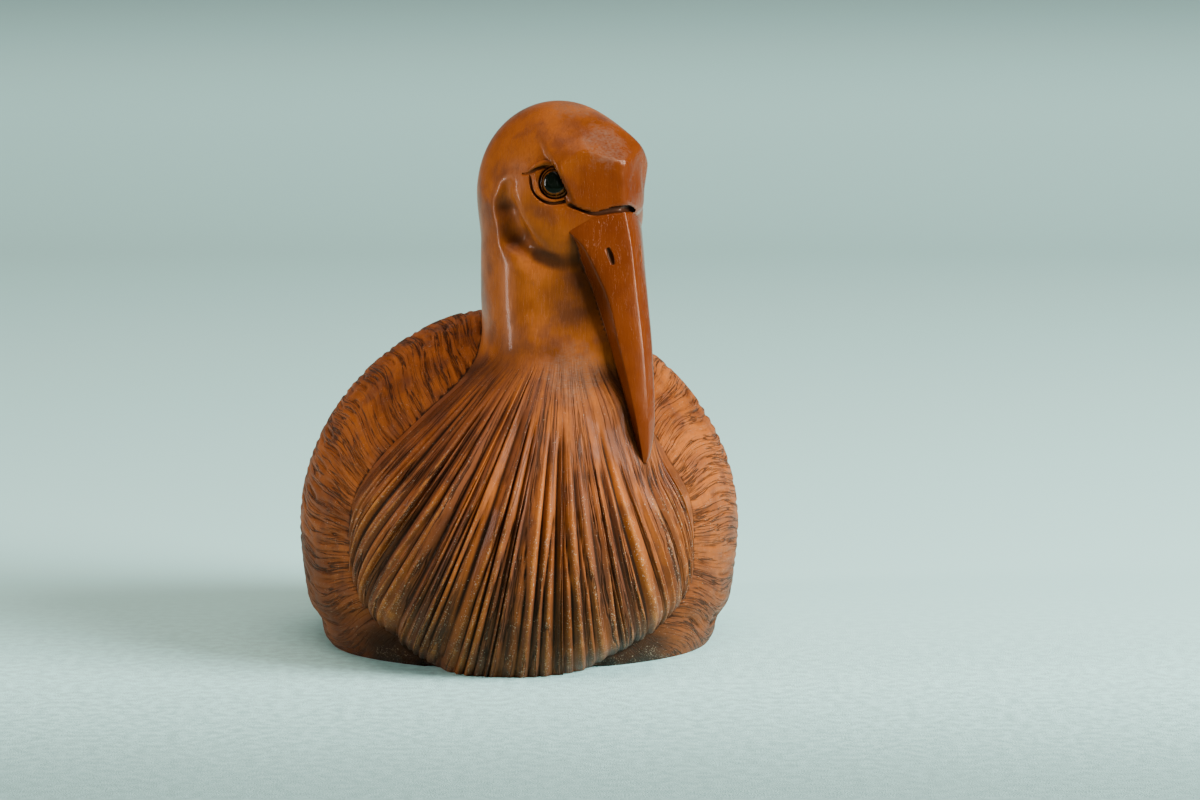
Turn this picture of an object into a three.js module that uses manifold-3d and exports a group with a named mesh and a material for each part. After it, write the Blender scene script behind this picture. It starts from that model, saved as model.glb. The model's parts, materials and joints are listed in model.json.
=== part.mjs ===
// Netsuke of a seated ibis with its long bill laid on its breast.
// Millimetres, +Z up. The bird faces -Y and stands on Z = 0, with the middle of its box at X = Y = 0.
import * as THREE from "three";
import { mergeVertices } from "three/addons/utils/BufferGeometryUtils.js";
import Module from "manifold-3d";

const wasm = await Module();
wasm.setup();

// Driving dimensions
const HEIGHT = 45; // floor to crown
const EYE_DIAMETER = 2.55; // horn ring set in each socket
const EYE_BULGE = 0.25; // rise of the horn ring towards the pupil
const PUPIL_DIAMETER = 2; // black bead in the middle of the ring
const PUPIL_BULGE = 0.45; // rise of the bead above the ring
const INLAY_DEPTH = 1.2; // depth of each eye socket
const INLAY_CLEARANCE = 0.06; // glue gap round an inlay
const CORD_HOLE_DIAMETER = 2.4; // cord tunnel in the belly
const KNOT_HOLE_DIAMETER = 3.6; // mouth of the tunnel that hides the knot
const KNOT_HOLE_DEPTH = 2.2;
const CORD_HOLE_SPACING = 8; // between the middles of the two mouths
const FLUTES = 32; // carved ridges of the breast

// The bird is a free form: its numbers are hundredths of its height
const HUNDREDTH = HEIGHT / 100;
const DEGREE = Math.PI / 180;

// Curves and fields
function smooth(x, start, end) {
  return THREE.MathUtils.smoothstep((x - start) / (end - start), 0, 1);
}

function mixed(number, seed) {
  // A fixed share from 0 to 1 for each whole number
  const wave = Math.sin(number * 12.9898 + seed * 78.233) * 43758.5453;
  return wave - Math.floor(wave);
}

function through(knots, column) {
  // Smooth curve over the rows of a table, whose first column rises
  const last = knots.length - 1;
  const slope = (i) => {
    const before = knots[Math.max(i - 1, 0)];
    const after = knots[Math.min(i + 1, last)];
    return (after[column] - before[column]) / (after[0] - before[0]);
  };
  return (where) => {
    const x = THREE.MathUtils.clamp(where, knots[0][0], knots[last][0]);
    let i = 0;
    while (i < last - 1 && x >= knots[i + 1][0]) i += 1;
    const span = knots[i + 1][0] - knots[i][0];
    const t = (x - knots[i][0]) / span;
    const rise = t * t * (3 - 2 * t);
    const value = knots[i][column] * (1 - rise) + knots[i + 1][column] * rise;
    return value + span * t * (1 - t) * (slope(i) * (1 - t) - slope(i + 1) * t);
  };
}

function joined(a, b, blend) {
  // Union of two fields, with a fillet about as wide as blend
  const share = THREE.MathUtils.clamp(0.5 + (b - a) / (2 * blend), 0, 1);
  return b * (1 - share) + a * share - blend * share * (1 - share);
}

function common(a, b, blend) {
  return -joined(-a, -b, blend);
}

function ellipsoid(point, centre, halves) {
  const from = point.clone().sub(centre);
  const near = from.clone().divide(halves).length();
  const steep = from.clone().divide(halves).divide(halves).length();
  return near * (near - 1) / Math.max(steep, 1e-6);
}

function rod(point, start, end) {
  // Field of a tapered rod with round ends; each end is x, y, z and radius
  const from = new THREE.Vector3(...start);
  const along = new THREE.Vector3(...end).sub(from);
  const offset = point.clone().sub(from);
  const share = THREE.MathUtils.clamp(offset.dot(along) / along.lengthSq(), 0, 1);
  const radius = THREE.MathUtils.lerp(start[3], end[3], share);
  return offset.sub(along.multiplyScalar(share)).length() - radius;
}

function chain(point, stops, blend) {
  let field = rod(point, stops[0], stops[1]);
  for (let i = 1; i < stops.length - 1; i += 1) {
    field = joined(field, rod(point, stops[i], stops[i + 1]), blend);
  }
  return field;
}

// Breast and neck: height, half width, middle in X, front in Y, back in Y
const COLUMN_AXIS = -15;
const COLUMN = [
  [-3, 13.0, -0.8, -34, -6],
  [0, 16.4, -0.7, -37, -6],
  [3, 21.2, -0.1, -39.8, -6],
  [6, 25.4, 0.5, -42, -6],
  [12, 30.2, 0.7, -45, -5],
  [20, 31.4, 0.7, -46.5, -4],
  [30, 30.2, 0.8, -45.5, -2],
  [37, 26.0, 1.1, -43, 2],
  [45, 19.6, 2.7, -39, 6],
  [53, 13.2, 5.1, -34.5, 8],
  [58, 11.8, 5.5, -32, 7.5],
  [66, 11.9, 5.5, -30.5, -1.5],
  [76, 12.2, 5.9, -30, -5],
  [90, 12.2, 6.7, -30, -5],
];
const COLUMN_TOP = 88;
const COLUMN_SQUARENESS = 2.3;
const columnHalf = through(COLUMN, 1);
const columnMiddle = through(COLUMN, 2);
const columnFront = through(COLUMN, 3);
const columnBack = through(COLUMN, 4);

function columnField(point) {
  const half = columnHalf(point.z);
  const across = Math.abs(point.x - columnMiddle(point.z)) / half;
  const behind = point.y - COLUMN_AXIS;
  const front = COLUMN_AXIS - columnFront(point.z);
  const deep = behind < 0 ? -behind / front : behind / (columnBack(point.z) - COLUMN_AXIS);
  const near = (across ** COLUMN_SQUARENESS + deep ** COLUMN_SQUARENESS) ** (1 / COLUMN_SQUARENESS);
  return common((near - 1) * Math.min(half, front), point.z - COLUMN_TOP, 6);
}

// Head, in its own directions: forward along the bill, out to the bird's right, up
const HEAD = new THREE.Vector3(7.7, -17, 84);
const HEAD_TURN = 42 * DEGREE;
const FORWARD = new THREE.Vector3(Math.sin(HEAD_TURN), -Math.cos(HEAD_TURN), 0);
const OUTWARD = new THREE.Vector3(-Math.cos(HEAD_TURN), -Math.sin(HEAD_TURN), 0);
const SKULL = new THREE.Vector3(16, 13.5, 16);
const CHEEK_MIDDLE = new THREE.Vector3(6, 5, -5);
const CHEEK_HALVES = new THREE.Vector3(6.8, 6.6, 6.4);
const EYE_POCKET = new THREE.Vector3(16.3, 16, 4.5);
const EYE_POCKET_HALVES = new THREE.Vector3(10, 10, 10);
const BROW_MIDDLE = new THREE.Vector3(1.5, 0, 0);
const BROW_HALVES = new THREE.Vector3(19.5, 13.7, 14.4);

function inHead(point) {
  const from = point.clone().sub(HEAD);
  return new THREE.Vector3(from.dot(FORWARD), from.dot(OUTWARD), from.z);
}

function fromHead(forward, outward, up) {
  const place = HEAD.clone().addScaledVector(FORWARD, forward).addScaledVector(OUTWARD, outward);
  place.z += up;
  return place;
}

function mirrored(local) {
  return new THREE.Vector3(local.x, Math.abs(local.y), local.z);
}

function browField(local) {
  // Blocky brow over the bill: two front facets, flanks that run back past the eyes and a floor
  const side = Math.abs(local.y);
  const facet = (local.x - 17.6) * 0.862 + side * 0.507;
  const flank = (2.1 - 0.5 * (local.z + 0.3) - 0.669 * local.x + 0.743 * side) * 0.9;
  const under = -1.4 + 0.08 * local.y - local.z;
  const around = ellipsoid(mirrored(local), BROW_MIDDLE, BROW_HALVES);
  const block = common(common(facet, flank, 1), common(under, around, 0.5), 0.5);
  return common(block, 3 - local.x, 1);
}

function bareHead(point) {
  // Skull and cheeks, with a pocket sunk for each eye
  const local = inHead(point);
  const skull = ellipsoid(local, new THREE.Vector3(), SKULL);
  const cheek = ellipsoid(mirrored(local), CHEEK_MIDDLE, CHEEK_HALVES);
  const pocket = ellipsoid(mirrored(local), EYE_POCKET, EYE_POCKET_HALVES);
  return common(joined(skull, cheek, 2), -pocket, 0.8);
}

function headField(point) {
  // The brow is laid over the bare head, under a flat forehead that slopes up from its front edge
  const local = inHead(point);
  const forehead = 6.3 + (17.6 - local.x) - 0.18 * Math.abs(local.y);
  const whole = joined(bareHead(point), browField(local), 0.5);
  return common(whole, (local.z - forehead) * 0.7, 0.4);
}

// Hollow behind each cheek, and the throat that carries the bill down to the breast
const CHEEK_HOLLOW = [
  [1.4, 13.9, 1.5, 0.5],
  [1.4, 13.9, -2, 1.8],
  [3.3, 13.2, -7, 2.2],
  [7, 12.5, -10, 1.9],
  [12, 9.7, -12.5, 1.4],
];
const HOLLOW_BLEND = 2;
const THROAT = [
  [7.2, 0, -6, 5.8],
  [6.6, 0, -13, 5.8],
  [6.3, 0, -18, 7.4],
  [8.5, 0, -27, 8.3],
  [11.8, 0, -39, 8],
  [14.8, 0, -47, 6.3],
  [15, 0, -52, 5],
];

function frontField(point) {
  const local = inHead(point);
  const neck = joined(columnField(point), chain(local, THROAT, 3), 3);
  const whole = joined(neck, headField(point), 2);
  return common(whole, -chain(mirrored(local), CHEEK_HOLLOW, 1), HOLLOW_BLEND);
}

// Flutes of the breast: whole numbers along the fan are valleys, straight lines from under the throat
const FAN_START = -80 * DEGREE;
const FAN_END = 82 * DEGREE;
const FAN_FOCUS_X = 8.2;
const FAN_FOCUS_HEIGHT = 66.4;

function flutePlace(flute, height) {
  // A line's slope gives its place across, held inside the section; above the breast the angles are even
  const share = (flute + 0.22 * Math.sin(1.7 * flute) + 0.1 * Math.sin(3.9 * flute + 1)) / FLUTES;
  const slope = -1.13 + 2.49 * share - 0.6 * share ** 2;
  const half = columnHalf(height);
  const front = COLUMN_AXIS - columnFront(height);
  const drop = Math.max(FAN_FOCUS_HEIGHT - height, 6);
  const across = (FAN_FOCUS_X + slope * drop - columnMiddle(height)) / half;
  const wide = across / (1 + Math.abs(across) ** 8) ** (1 / 8);
  const deep = (1 - Math.abs(wide) ** COLUMN_SQUARENESS) ** (1 / COLUMN_SQUARENESS);
  const even = FAN_START + (FAN_END - FAN_START) * flute / FLUTES;
  return THREE.MathUtils.lerp(Math.atan2(wide * half, deep * front), even, smooth(height, 54, 70));
}

function fluteDepth(flute, height) {
  // Deepest low on the breast, and shallower where the lines run close together
  const valley = Math.round(flute);
  const share = flute / FLUTES;
  const bare = 8 * smooth(share, 0.3, 0.45) + 5 * smooth(share, 0.6, 0.75);
  const start = 57 - bare - 7 * mixed(valley, 1);
  const spacing = (2.49 - 1.2 * share) / FLUTES * Math.max(FAN_FOCUS_HEIGHT - height, 6);
  const cut = (1 - 2 * Math.abs(flute - valley)) * smooth(height, start, start - 7);
  const fade = smooth(share, -0.01, 0.02) * smooth(share, 1.01, 0.98);
  return fade * cut * (0.75 + 0.5 * mixed(valley, 3)) * Math.min(0.5 * spacing, 1.25);
}

// Wings and back: a body round the Y axis, full in front and drawn out behind
const BODY_HALF = 39.6;
const BODY_MIDDLE = new THREE.Vector3(0, 4, 22);
const BODY_FRONT = 39;
const BODY_BACK = 39;
const TAIL_DROP = 11;
const WING_EDGE = 116; // lower edge of the wings, in degrees from the top
const WING_RIM = 128; // where the rims turn in under the body
const SPINE_START = 70; // groove along the back between the wings
const SPINE_END = 110;
const RIM_SQUARENESS = 2.25; // of the body's outline in front, low down where the wings are fuller

// Rise of the body's section over a circle, by degrees from the top
const SECTION = [
  [0, 0],
  [30, -0.5],
  [45, -0.5],
  [60, -0.2],
  [75, 0.3],
  [90, 0.7],
  [102, 1.0],
  [112, 1.9],
  [118, 2.2],
  [125, 1.6],
  [135, 0.4],
  [150, 0],
  [180, 0],
];
const sectionRise = through(SECTION, 1);

// Rows of overlapping feathers, in degrees: tips from the front pole, length, width round the body
const FEATHER_ROWS = [
  [107, 14, 12.8],
  [118, 15, 12.8],
  [129, 16, 12.8],
  [154, 30, 10],
];
const FEATHER_RISE = 1.5;
const FEATHER_POINT = 0.32;

function featherAcross(row, around) {
  // From -1 to 1 across the feather of a row that lies at an angle round the body
  const lane = Math.abs(around) / FEATHER_ROWS[row][2] + (row % 2) / 2;
  return 2 * (lane - Math.floor(lane)) - 1;
}

function featherEnd(row, around) {
  const [tip, length] = FEATHER_ROWS[row];
  return tip - FEATHER_POINT * length * featherAcross(row, around) ** 2;
}

function featherRise(along, around) {
  // Height of the feathers; each row lies over the one behind it
  let rise = 0;
  for (let row = FEATHER_ROWS.length - 1; row >= 0; row -= 1) {
    const length = FEATHER_ROWS[row][1];
    const share = 1 - (featherEnd(row, around) - along) / length;
    if (share < 1) rise = Math.max(share, 0) * (1 - 0.4 * featherAcross(row, around) ** 2);
  }
  const reach = smooth(along, 93, 101) * smooth(Math.abs(around), WING_EDGE, WING_EDGE - 6);
  return FEATHER_RISE * (rise * reach - 0.6 * smooth(along, 88, 108));
}

function bodyPoint(along, around) {
  // Point at an angle along from the front pole, and an angle around from the top, in degrees
  const side = Math.abs(around);
  const cosine = Math.cos(along * DEGREE);
  const back = Math.max(-cosine, 0);
  const rim = (1 - Math.max(cosine, 0) ** RIM_SQUARENESS) ** (1 / RIM_SQUARENESS);
  const front = THREE.MathUtils.lerp(Math.sin(along * DEGREE), rim, smooth(side, 92, WING_EDGE));
  const full = back > 0 ? (1 - back ** 1.75) ** 0.7 : front;
  const length = back > 0 ? BODY_BACK : BODY_FRONT;
  const notch = 1.1 * Math.exp(-(((side - WING_EDGE) / 3.5) ** 2)) - sectionRise(side);
  const spine = 2.2 * Math.exp(-((side / 11) ** 2)) * smooth(along, SPINE_START, SPINE_END);
  const radius = BODY_HALF * full + (featherRise(along, around) - notch - spine) * full ** 0.5;
  return new THREE.Vector3(
    BODY_MIDDLE.x + radius * Math.sin(around * DEGREE),
    BODY_MIDDLE.y - length * Math.cos(along * DEGREE),
    BODY_MIDDLE.z - TAIL_DROP * back ** 1.5 + radius * Math.cos(around * DEGREE),
  );
}

// Bill: height, ridge, half width, reach in front of the widest place and reach behind it
const BILL_TOP = 86;
const BILL_TIP = 37.4;
const BILL = [
  [BILL_TIP, 22.6, 0.3, 0.2, 0.4],
  [39, 23.2, 0.9, 0.4, 1.6],
  [43, 23.4, 1.8, 0.6, 3.0],
  [46, 23.3, 2.25, 0.8, 3.6],
  [51, 22.8, 2.9, 1.2, 4.2],
  [58.3, 21.9, 3.8, 1.8, 6.2],
  [66.4, 20.5, 4.6, 2.4, 8.4],
  [70.6, 19.8, 5.5, 3.3, 9.4],
  [75.6, 18.9, 7.0, 4.7, 9.4],
  [79, 18.0, 8.9, 6.6, 8.0],
  [82.5, 16.8, 8.8, 7.0, 7.5],
  [BILL_TOP, 14.5, 7.5, 6.5, 7],
];
const BILL_SQUARENESS = 1.42;
const billRidge = through(BILL, 1);
const billHalf = through(BILL, 2);
const billFront = through(BILL, 3);
const billBack = through(BILL, 4);

function billPoint(height, turn) {
  // A near kite in front of the edge where the bill closes, and half an ellipse behind it
  const power = (value) => Math.sign(value) * Math.abs(value) ** (2 / BILL_SQUARENESS);
  const cosine = Math.cos(turn);
  const sine = Math.sin(turn);
  const before = cosine > 0;
  const deep = before ? billFront(height) * power(cosine) : billBack(height) * cosine;
  const wide = billHalf(height) * (before ? power(sine) : sine);
  return fromHead(billRidge(height) - billFront(height) + deep, wide, height - HEAD.z);
}

// Closed skins
function skin(rings, tip) {
  // Rings run anticlockwise, seen from the far end; an end without a tip closes on its ring's middle
  const columns = rings[0].length;
  const points = rings.flat();
  const sum = (ring) => ring.reduce((total, point) => total.add(point), new THREE.Vector3());
  const middle = (ring) => sum(ring).divideScalar(columns);
  const first = points.push(middle(rings[0])) - 1;
  const final = points.push(tip ?? middle(rings[rings.length - 1])) - 1;
  const faces = [];
  for (let j = 0; j < columns; j += 1) {
    const next = (j + 1) % columns;
    faces.push(next, j, first);
    for (let i = 0; i < rings.length - 1; i += 1) {
      const here = i * columns;
      const ahead = here + columns;
      faces.push(here + j, here + next, ahead + next);
      faces.push(here + j, ahead + next, ahead + j);
    }
    const top = (rings.length - 1) * columns;
    faces.push(top + j, top + next, final);
  }
  const geometry = new THREE.BufferGeometry();
  const flat = points.flatMap((point) => point.clone().multiplyScalar(HUNDREDTH).toArray());
  geometry.setAttribute("position", new THREE.Float32BufferAttribute(flat, 3));
  geometry.setIndex(faces);
  return geometry;
}

function solidOf(geometry) {
  const bare = geometry.clone();
  bare.deleteAttribute("normal");
  bare.deleteAttribute("uv");
  const merged = mergeVertices(bare);
  const vertProperties = merged.attributes.position.array;
  const triVerts = new Uint32Array(merged.index.array);
  return new wasm.Manifold(new wasm.Mesh({ numProp: 3, vertProperties, triVerts }));
}

function geometryOf(solid) {
  const mesh = solid.getMesh();
  const geometry = new THREE.BufferGeometry();
  geometry.setAttribute("position", new THREE.BufferAttribute(mesh.vertProperties, 3));
  geometry.setIndex(new THREE.BufferAttribute(mesh.triVerts, 1));
  geometry.computeVertexNormals();
  return geometry;
}

function steps(from, to, count) {
  return Array.from({ length: count }, (_, i) => from + (to - from) * i / count);
}

// Breast, neck and head in one skin, found by rays from a line up the middle
const RAY_REACH = 60;
const RAY_STEP = 2.5;
const HALVINGS = 12;

function surfaceAlong(field, origin, direction) {
  // In from outside to the first wood, then closed in on by halving
  const inside = (reach) => field(origin.clone().addScaledVector(direction, reach)) < 0;
  let near = RAY_REACH;
  while (near > 0 && !inside(near)) near -= RAY_STEP;
  let far = near + RAY_STEP;
  for (let i = 0; i < HALVINGS; i += 1) {
    const middle = (near + far) / 2;
    if (inside(middle)) near = middle;
    else far = middle;
  }
  return near;
}

function frontRing(height, lift) {
  // Ring of surface points at a height, or lifted rays over the crown
  const fan = steps(0, FLUTES, FLUTES * 2).map((flute) => [flutePlace(flute, height), flute]);
  const round = flutePlace(0, height) + 2 * Math.PI;
  const rest = steps(flutePlace(FLUTES, height), round, 11).map((angle) => [angle, FLUTES]);
  const origin = new THREE.Vector3(columnMiddle(height), COLUMN_AXIS, height);
  origin.lerp(HEAD.clone().setZ(height), smooth(height, 50, HEAD.z));
  return [...fan, ...rest].map(([angle, flute]) => {
    const level = Math.cos(lift);
    const direction = new THREE.Vector3(Math.sin(angle) * level, -Math.cos(angle) * level, Math.sin(lift));
    const cut = lift > 0 ? 0 : fluteDepth(flute, height);
    return origin.clone().addScaledVector(direction, surfaceAlong(frontField, origin, direction) - cut);
  });
}

function frontSkin() {
  const heights = [...steps(-3, 12, 3), ...steps(12, 60, 10), ...steps(60, 76, 4), ...steps(76, HEAD.z, 3)];
  const lifts = steps(0, Math.PI / 2, 7);
  const column = heights.map((height) => frontRing(height, 0));
  const crown = lifts.map((lift) => frontRing(HEAD.z, lift));
  return skin([...column, ...crown], HEAD.clone().setZ(HEAD.z + SKULL.z));
}

function bodySkin() {
  // Rings follow the scalloped feather ends, one just before and one just after each edge
  const under = [...steps(WING_RIM, 180, 2), ...steps(-180, -WING_RIM, 2)];
  const turns = [...steps(-WING_RIM, WING_RIM, 64), ...under];
  const before = steps(14, 98, 6).map((along) => () => along);
  const edges = FEATHER_ROWS.flatMap(([, length], row) => [
    (turn) => featherEnd(row, turn) - length * 0.3,
    (turn) => featherEnd(row, turn) - 0.5,
    (turn) => featherEnd(row, turn) + 0.5,
  ]);
  const behind = [161, 170].map((along) => () => along);
  const rings = [...before, ...edges, ...behind];
  return skin(rings.map((ring) => turns.map((turn) => bodyPoint(ring(turn), turn))));
}

function billSkin() {
  const heights = [...steps(BILL_TOP, 46, 9), 46, 41.5, 39, BILL_TIP];
  const turns = steps(0, 2 * Math.PI, 10);
  return skin(heights.map((height) => turns.map((turn) => billPoint(height, turn))));
}

// A rounded lump, boxier as its squareness rises above 2
function lumpSkin(middle, halves, squareness, columns, rows) {
  const power = (value) => Math.sign(value) * Math.abs(value) ** (2 / squareness);
  const lifts = steps(-90, 90, rows).slice(1);
  return skin(lifts.map((lift) => steps(0, 360, columns).map((turn) => new THREE.Vector3(
    middle[0] + halves[0] * power(Math.cos(lift * DEGREE)) * power(Math.cos(turn * DEGREE)),
    middle[1] + halves[1] * power(Math.cos(lift * DEGREE)) * power(Math.sin(turn * DEGREE)),
    middle[2] + halves[2] * power(Math.sin(lift * DEGREE)),
  ))));
}

// Underside: a hollow between the wing rims, the belly in it, the tail and the folded legs
const BELLY_MIDDLE = [0, 5, 12.5];
const BELLY_HALVES = [17, 25, 11];

function hollowSolid() {
  return solidOf(lumpSkin([0, 3, 0], [25.5, 33, 6.5], 2.8, 24, 8));
}

function bellySolid() {
  return solidOf(lumpSkin(BELLY_MIDDLE, BELLY_HALVES, 2.1, 20, 10));
}

function tailSolid() {
  return solidOf(lumpSkin([0, 32.5, 8.5], [14, 14, 4.6], 2.5, 20, 8));
}

function limb(start, end) {
  const from = new THREE.Vector3(...start).multiplyScalar(HUNDREDTH);
  const to = new THREE.Vector3(...end).multiplyScalar(HUNDREDTH);
  const along = to.clone().sub(from);
  const geometry = new THREE.CapsuleGeometry(start[3] * HUNDREDTH, along.length(), 2, 6);
  const up = new THREE.Vector3(0, 1, 0);
  geometry.applyQuaternion(new THREE.Quaternion().setFromUnitVectors(up, along.clone().normalize()));
  const middle = from.add(to).multiplyScalar(0.5);
  return solidOf(geometry.translate(middle.x, middle.y, middle.z));
}

function legSolids(side) {
  const ankle = [side * 10, -3, 3.2, 1.3];
  const toes = [[4, -13], [9.5, -15], [14, -13]].map(([x, y]) => limb(ankle, [side * x, y, 2.4]));
  return [limb([side * 11.5, 21, 4, 1.7], ankle), ...toes];
}

// Cord tunnel: half a ring sunk in the belly, with one wide mouth for the knot
function cordTunnel() {
  const depth = (BELLY_MIDDLE[2] - BELLY_HALVES[2]) * HUNDREDTH;
  const middle = new THREE.Vector3(0, 8 * HUNDREDTH, depth);
  const ring = new THREE.TorusGeometry(CORD_HOLE_SPACING / 2, CORD_HOLE_DIAMETER / 2, 10, 24);
  ring.rotateY(Math.PI / 2);
  ring.translate(middle.x, middle.y, middle.z);
  const profile = [
    [0, -KNOT_HOLE_DEPTH],
    [KNOT_HOLE_DIAMETER / 2, -KNOT_HOLE_DEPTH],
    [KNOT_HOLE_DIAMETER / 2, 0],
    [CORD_HOLE_DIAMETER / 2, KNOT_HOLE_DEPTH],
    [0, KNOT_HOLE_DEPTH],
  ];
  const mouth = lathe(profile, 16);
  mouth.rotateX(Math.PI / 2);
  mouth.translate(middle.x, middle.y + CORD_HOLE_SPACING / 2, middle.z);
  return [solidOf(ring), solidOf(mouth)];
}

function lathe(profile, segments) {
  const points = profile.map(([radius, rise]) => new THREE.Vector2(radius, rise));
  return new THREE.LatheGeometry(points, segments);
}

// Eyes: a horn ring and a black bead let into a socket that faces out of the head
const EYE_AIM = [10.4, 10.2, 2.9];
const EYE_STAND = 0.45; // hundredths over the floor of the pocket
const EYE_SEGMENTS = 14;
const EYE_SINK = 0.1;

function eyePlace(side) {
  // Just over the place where the aimed ray leaves the bare head, with +Y along the skull's normal
  const aim = new THREE.Vector3(EYE_AIM[0], side * EYE_AIM[1], EYE_AIM[2]);
  const ray = fromHead(...aim).sub(HEAD).normalize();
  const slope = aim.clone().divide(SKULL).divide(SKULL);
  const normal = fromHead(...slope).sub(HEAD).normalize();
  const spot = HEAD.clone().addScaledVector(ray, surfaceAlong(bareHead, HEAD, ray));
  spot.addScaledVector(normal, EYE_STAND);
  const turn = new THREE.Quaternion().setFromUnitVectors(new THREE.Vector3(0, 1, 0), normal);
  return new THREE.Matrix4().compose(spot.multiplyScalar(HUNDREDTH), turn, new THREE.Vector3(1, 1, 1));
}

function socketSolid(side) {
  // A round hole that is open over the ring, with room above for the bead's head
  const radius = EYE_DIAMETER / 2 + INLAY_CLEARANCE;
  const bead = PUPIL_DIAMETER / 2 + INLAY_CLEARANCE;
  const depth = -INLAY_DEPTH - INLAY_CLEARANCE;
  const rim = EYE_BULGE - EYE_SINK + INLAY_CLEARANCE;
  const profile = [
    [0, depth],
    [radius, depth],
    [radius, rim + 0.1],
    [bead, rim + 0.22],
    [0.6 * bead, rim + 0.8 * PUPIL_BULGE],
    [0, rim + PUPIL_BULGE],
  ];
  return solidOf(lathe(profile, EYE_SEGMENTS).applyMatrix4(eyePlace(side)));
}

function irisGeometry() {
  const inner = PUPIL_DIAMETER / 2 + INLAY_CLEARANCE;
  const outer = EYE_DIAMETER / 2;
  const crown = EYE_BULGE - EYE_SINK;
  return lathe([
    [inner, -INLAY_DEPTH],
    [outer, -INLAY_DEPTH],
    [outer, -EYE_SINK],
    [(inner + outer) / 2, crown - EYE_BULGE * 0.3],
    [inner, crown],
    [inner, -INLAY_DEPTH],
  ], EYE_SEGMENTS);
}

function pupilGeometry() {
  const radius = PUPIL_DIAMETER / 2;
  const rim = EYE_BULGE - EYE_SINK;
  return lathe([
    [0, -INLAY_DEPTH],
    [radius, -INLAY_DEPTH],
    [radius, rim],
    [radius * 0.6, rim + PUPIL_BULGE * 0.65],
    [0, rim + PUPIL_BULGE],
  ], EYE_SEGMENTS);
}

// The carving: one block of wood
function carvingSolid() {
  const floor = new THREE.BoxGeometry(3 * HEIGHT, 3 * HEIGHT, HEIGHT).translate(0, 0, -HEIGHT / 2);
  let body = solidOf(bodySkin()).add(tailSolid()).subtract(hollowSolid()).add(bellySolid());
  for (const leg of [...legSolids(1), ...legSolids(-1)]) body = body.add(leg);
  let whole = body.add(solidOf(frontSkin())).add(solidOf(billSkin()));
  const cuts = [...cordTunnel(), socketSolid(1), socketSolid(-1), solidOf(floor)];
  for (const cut of cuts) whole = whole.subtract(cut);
  return whole;
}

function piece(name, geometry, colour, roughness) {
  const material = new THREE.MeshStandardMaterial({ color: colour, roughness, metalness: 0 });
  const mesh = new THREE.Mesh(geometry, material);
  mesh.name = name;
  return mesh;
}

const group = new THREE.Group();
group.add(piece("ibis", geometryOf(carvingSolid()), 0x9f5416, 0.35));
for (const [name, side] of [["right", 1], ["left", -1]]) {
  const iris = piece(`${name}_eye_iris`, irisGeometry(), 0x331e09, 0.2);
  const pupil = piece(`${name}_eye_pupil`, pupilGeometry(), 0x050c06, 0.08);
  for (const inlay of [iris, pupil]) {
    inlay.applyMatrix4(eyePlace(side));
    group.add(inlay);
  }
}

export default group;
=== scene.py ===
# %% [markdown]
# A netsuke is a toggle that hung a pouch from a sash. This one is a bird cut from one block of boxwood,
# stained brown and rubbed to a shine, with two eyes of horn let into the head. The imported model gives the
# pieces at their real size. This lesson carves the fine surface over them and gives it its finish.

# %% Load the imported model
import json
import math

import bpy
import numpy as np
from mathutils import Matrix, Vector

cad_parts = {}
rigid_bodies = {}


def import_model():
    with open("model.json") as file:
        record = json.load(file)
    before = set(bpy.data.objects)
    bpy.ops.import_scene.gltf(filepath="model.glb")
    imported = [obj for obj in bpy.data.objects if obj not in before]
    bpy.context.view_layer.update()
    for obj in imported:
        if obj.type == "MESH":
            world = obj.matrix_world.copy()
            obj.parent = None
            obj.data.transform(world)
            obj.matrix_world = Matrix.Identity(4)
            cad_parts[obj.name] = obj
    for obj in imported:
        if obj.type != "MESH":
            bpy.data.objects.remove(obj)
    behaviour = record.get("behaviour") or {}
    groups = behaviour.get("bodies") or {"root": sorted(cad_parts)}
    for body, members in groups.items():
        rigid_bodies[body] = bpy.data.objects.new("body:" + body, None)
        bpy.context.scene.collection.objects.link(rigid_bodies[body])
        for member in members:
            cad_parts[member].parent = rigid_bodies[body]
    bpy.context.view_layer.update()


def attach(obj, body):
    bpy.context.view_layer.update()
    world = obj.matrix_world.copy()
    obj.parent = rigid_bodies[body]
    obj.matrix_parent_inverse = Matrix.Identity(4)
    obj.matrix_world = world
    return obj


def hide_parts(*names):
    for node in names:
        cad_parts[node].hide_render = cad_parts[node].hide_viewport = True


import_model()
HEIGHT = 0.045
HUNDREDTH = HEIGHT / 100

# %% [markdown]
# A carving has few straight lines, so most sizes are curves through a handful of knots. A cubic piece
# between two knots, with its slope taken from the knots on either side, bends like a thin wooden batten.
# A spline object could do the same, but a function of whole arrays can be used inside other formulas.

# %% Smooth steps, fixed shares and curves through knots
def smooth(x, start, end):
    """From 0 at start to 1 at end, easing in and out: 3 t squared minus 2 t cubed."""
    t = np.clip((x - start) / (end - start), 0, 1)
    return t * t * (3 - 2 * t)


def mixed(number, seed):
    """A fixed share from 0 to 1 for each number: the fraction of a large sine."""
    wave = np.sin(number * 12.9898 + seed * 78.233) * 43758.5453
    return wave - np.floor(wave)


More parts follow.
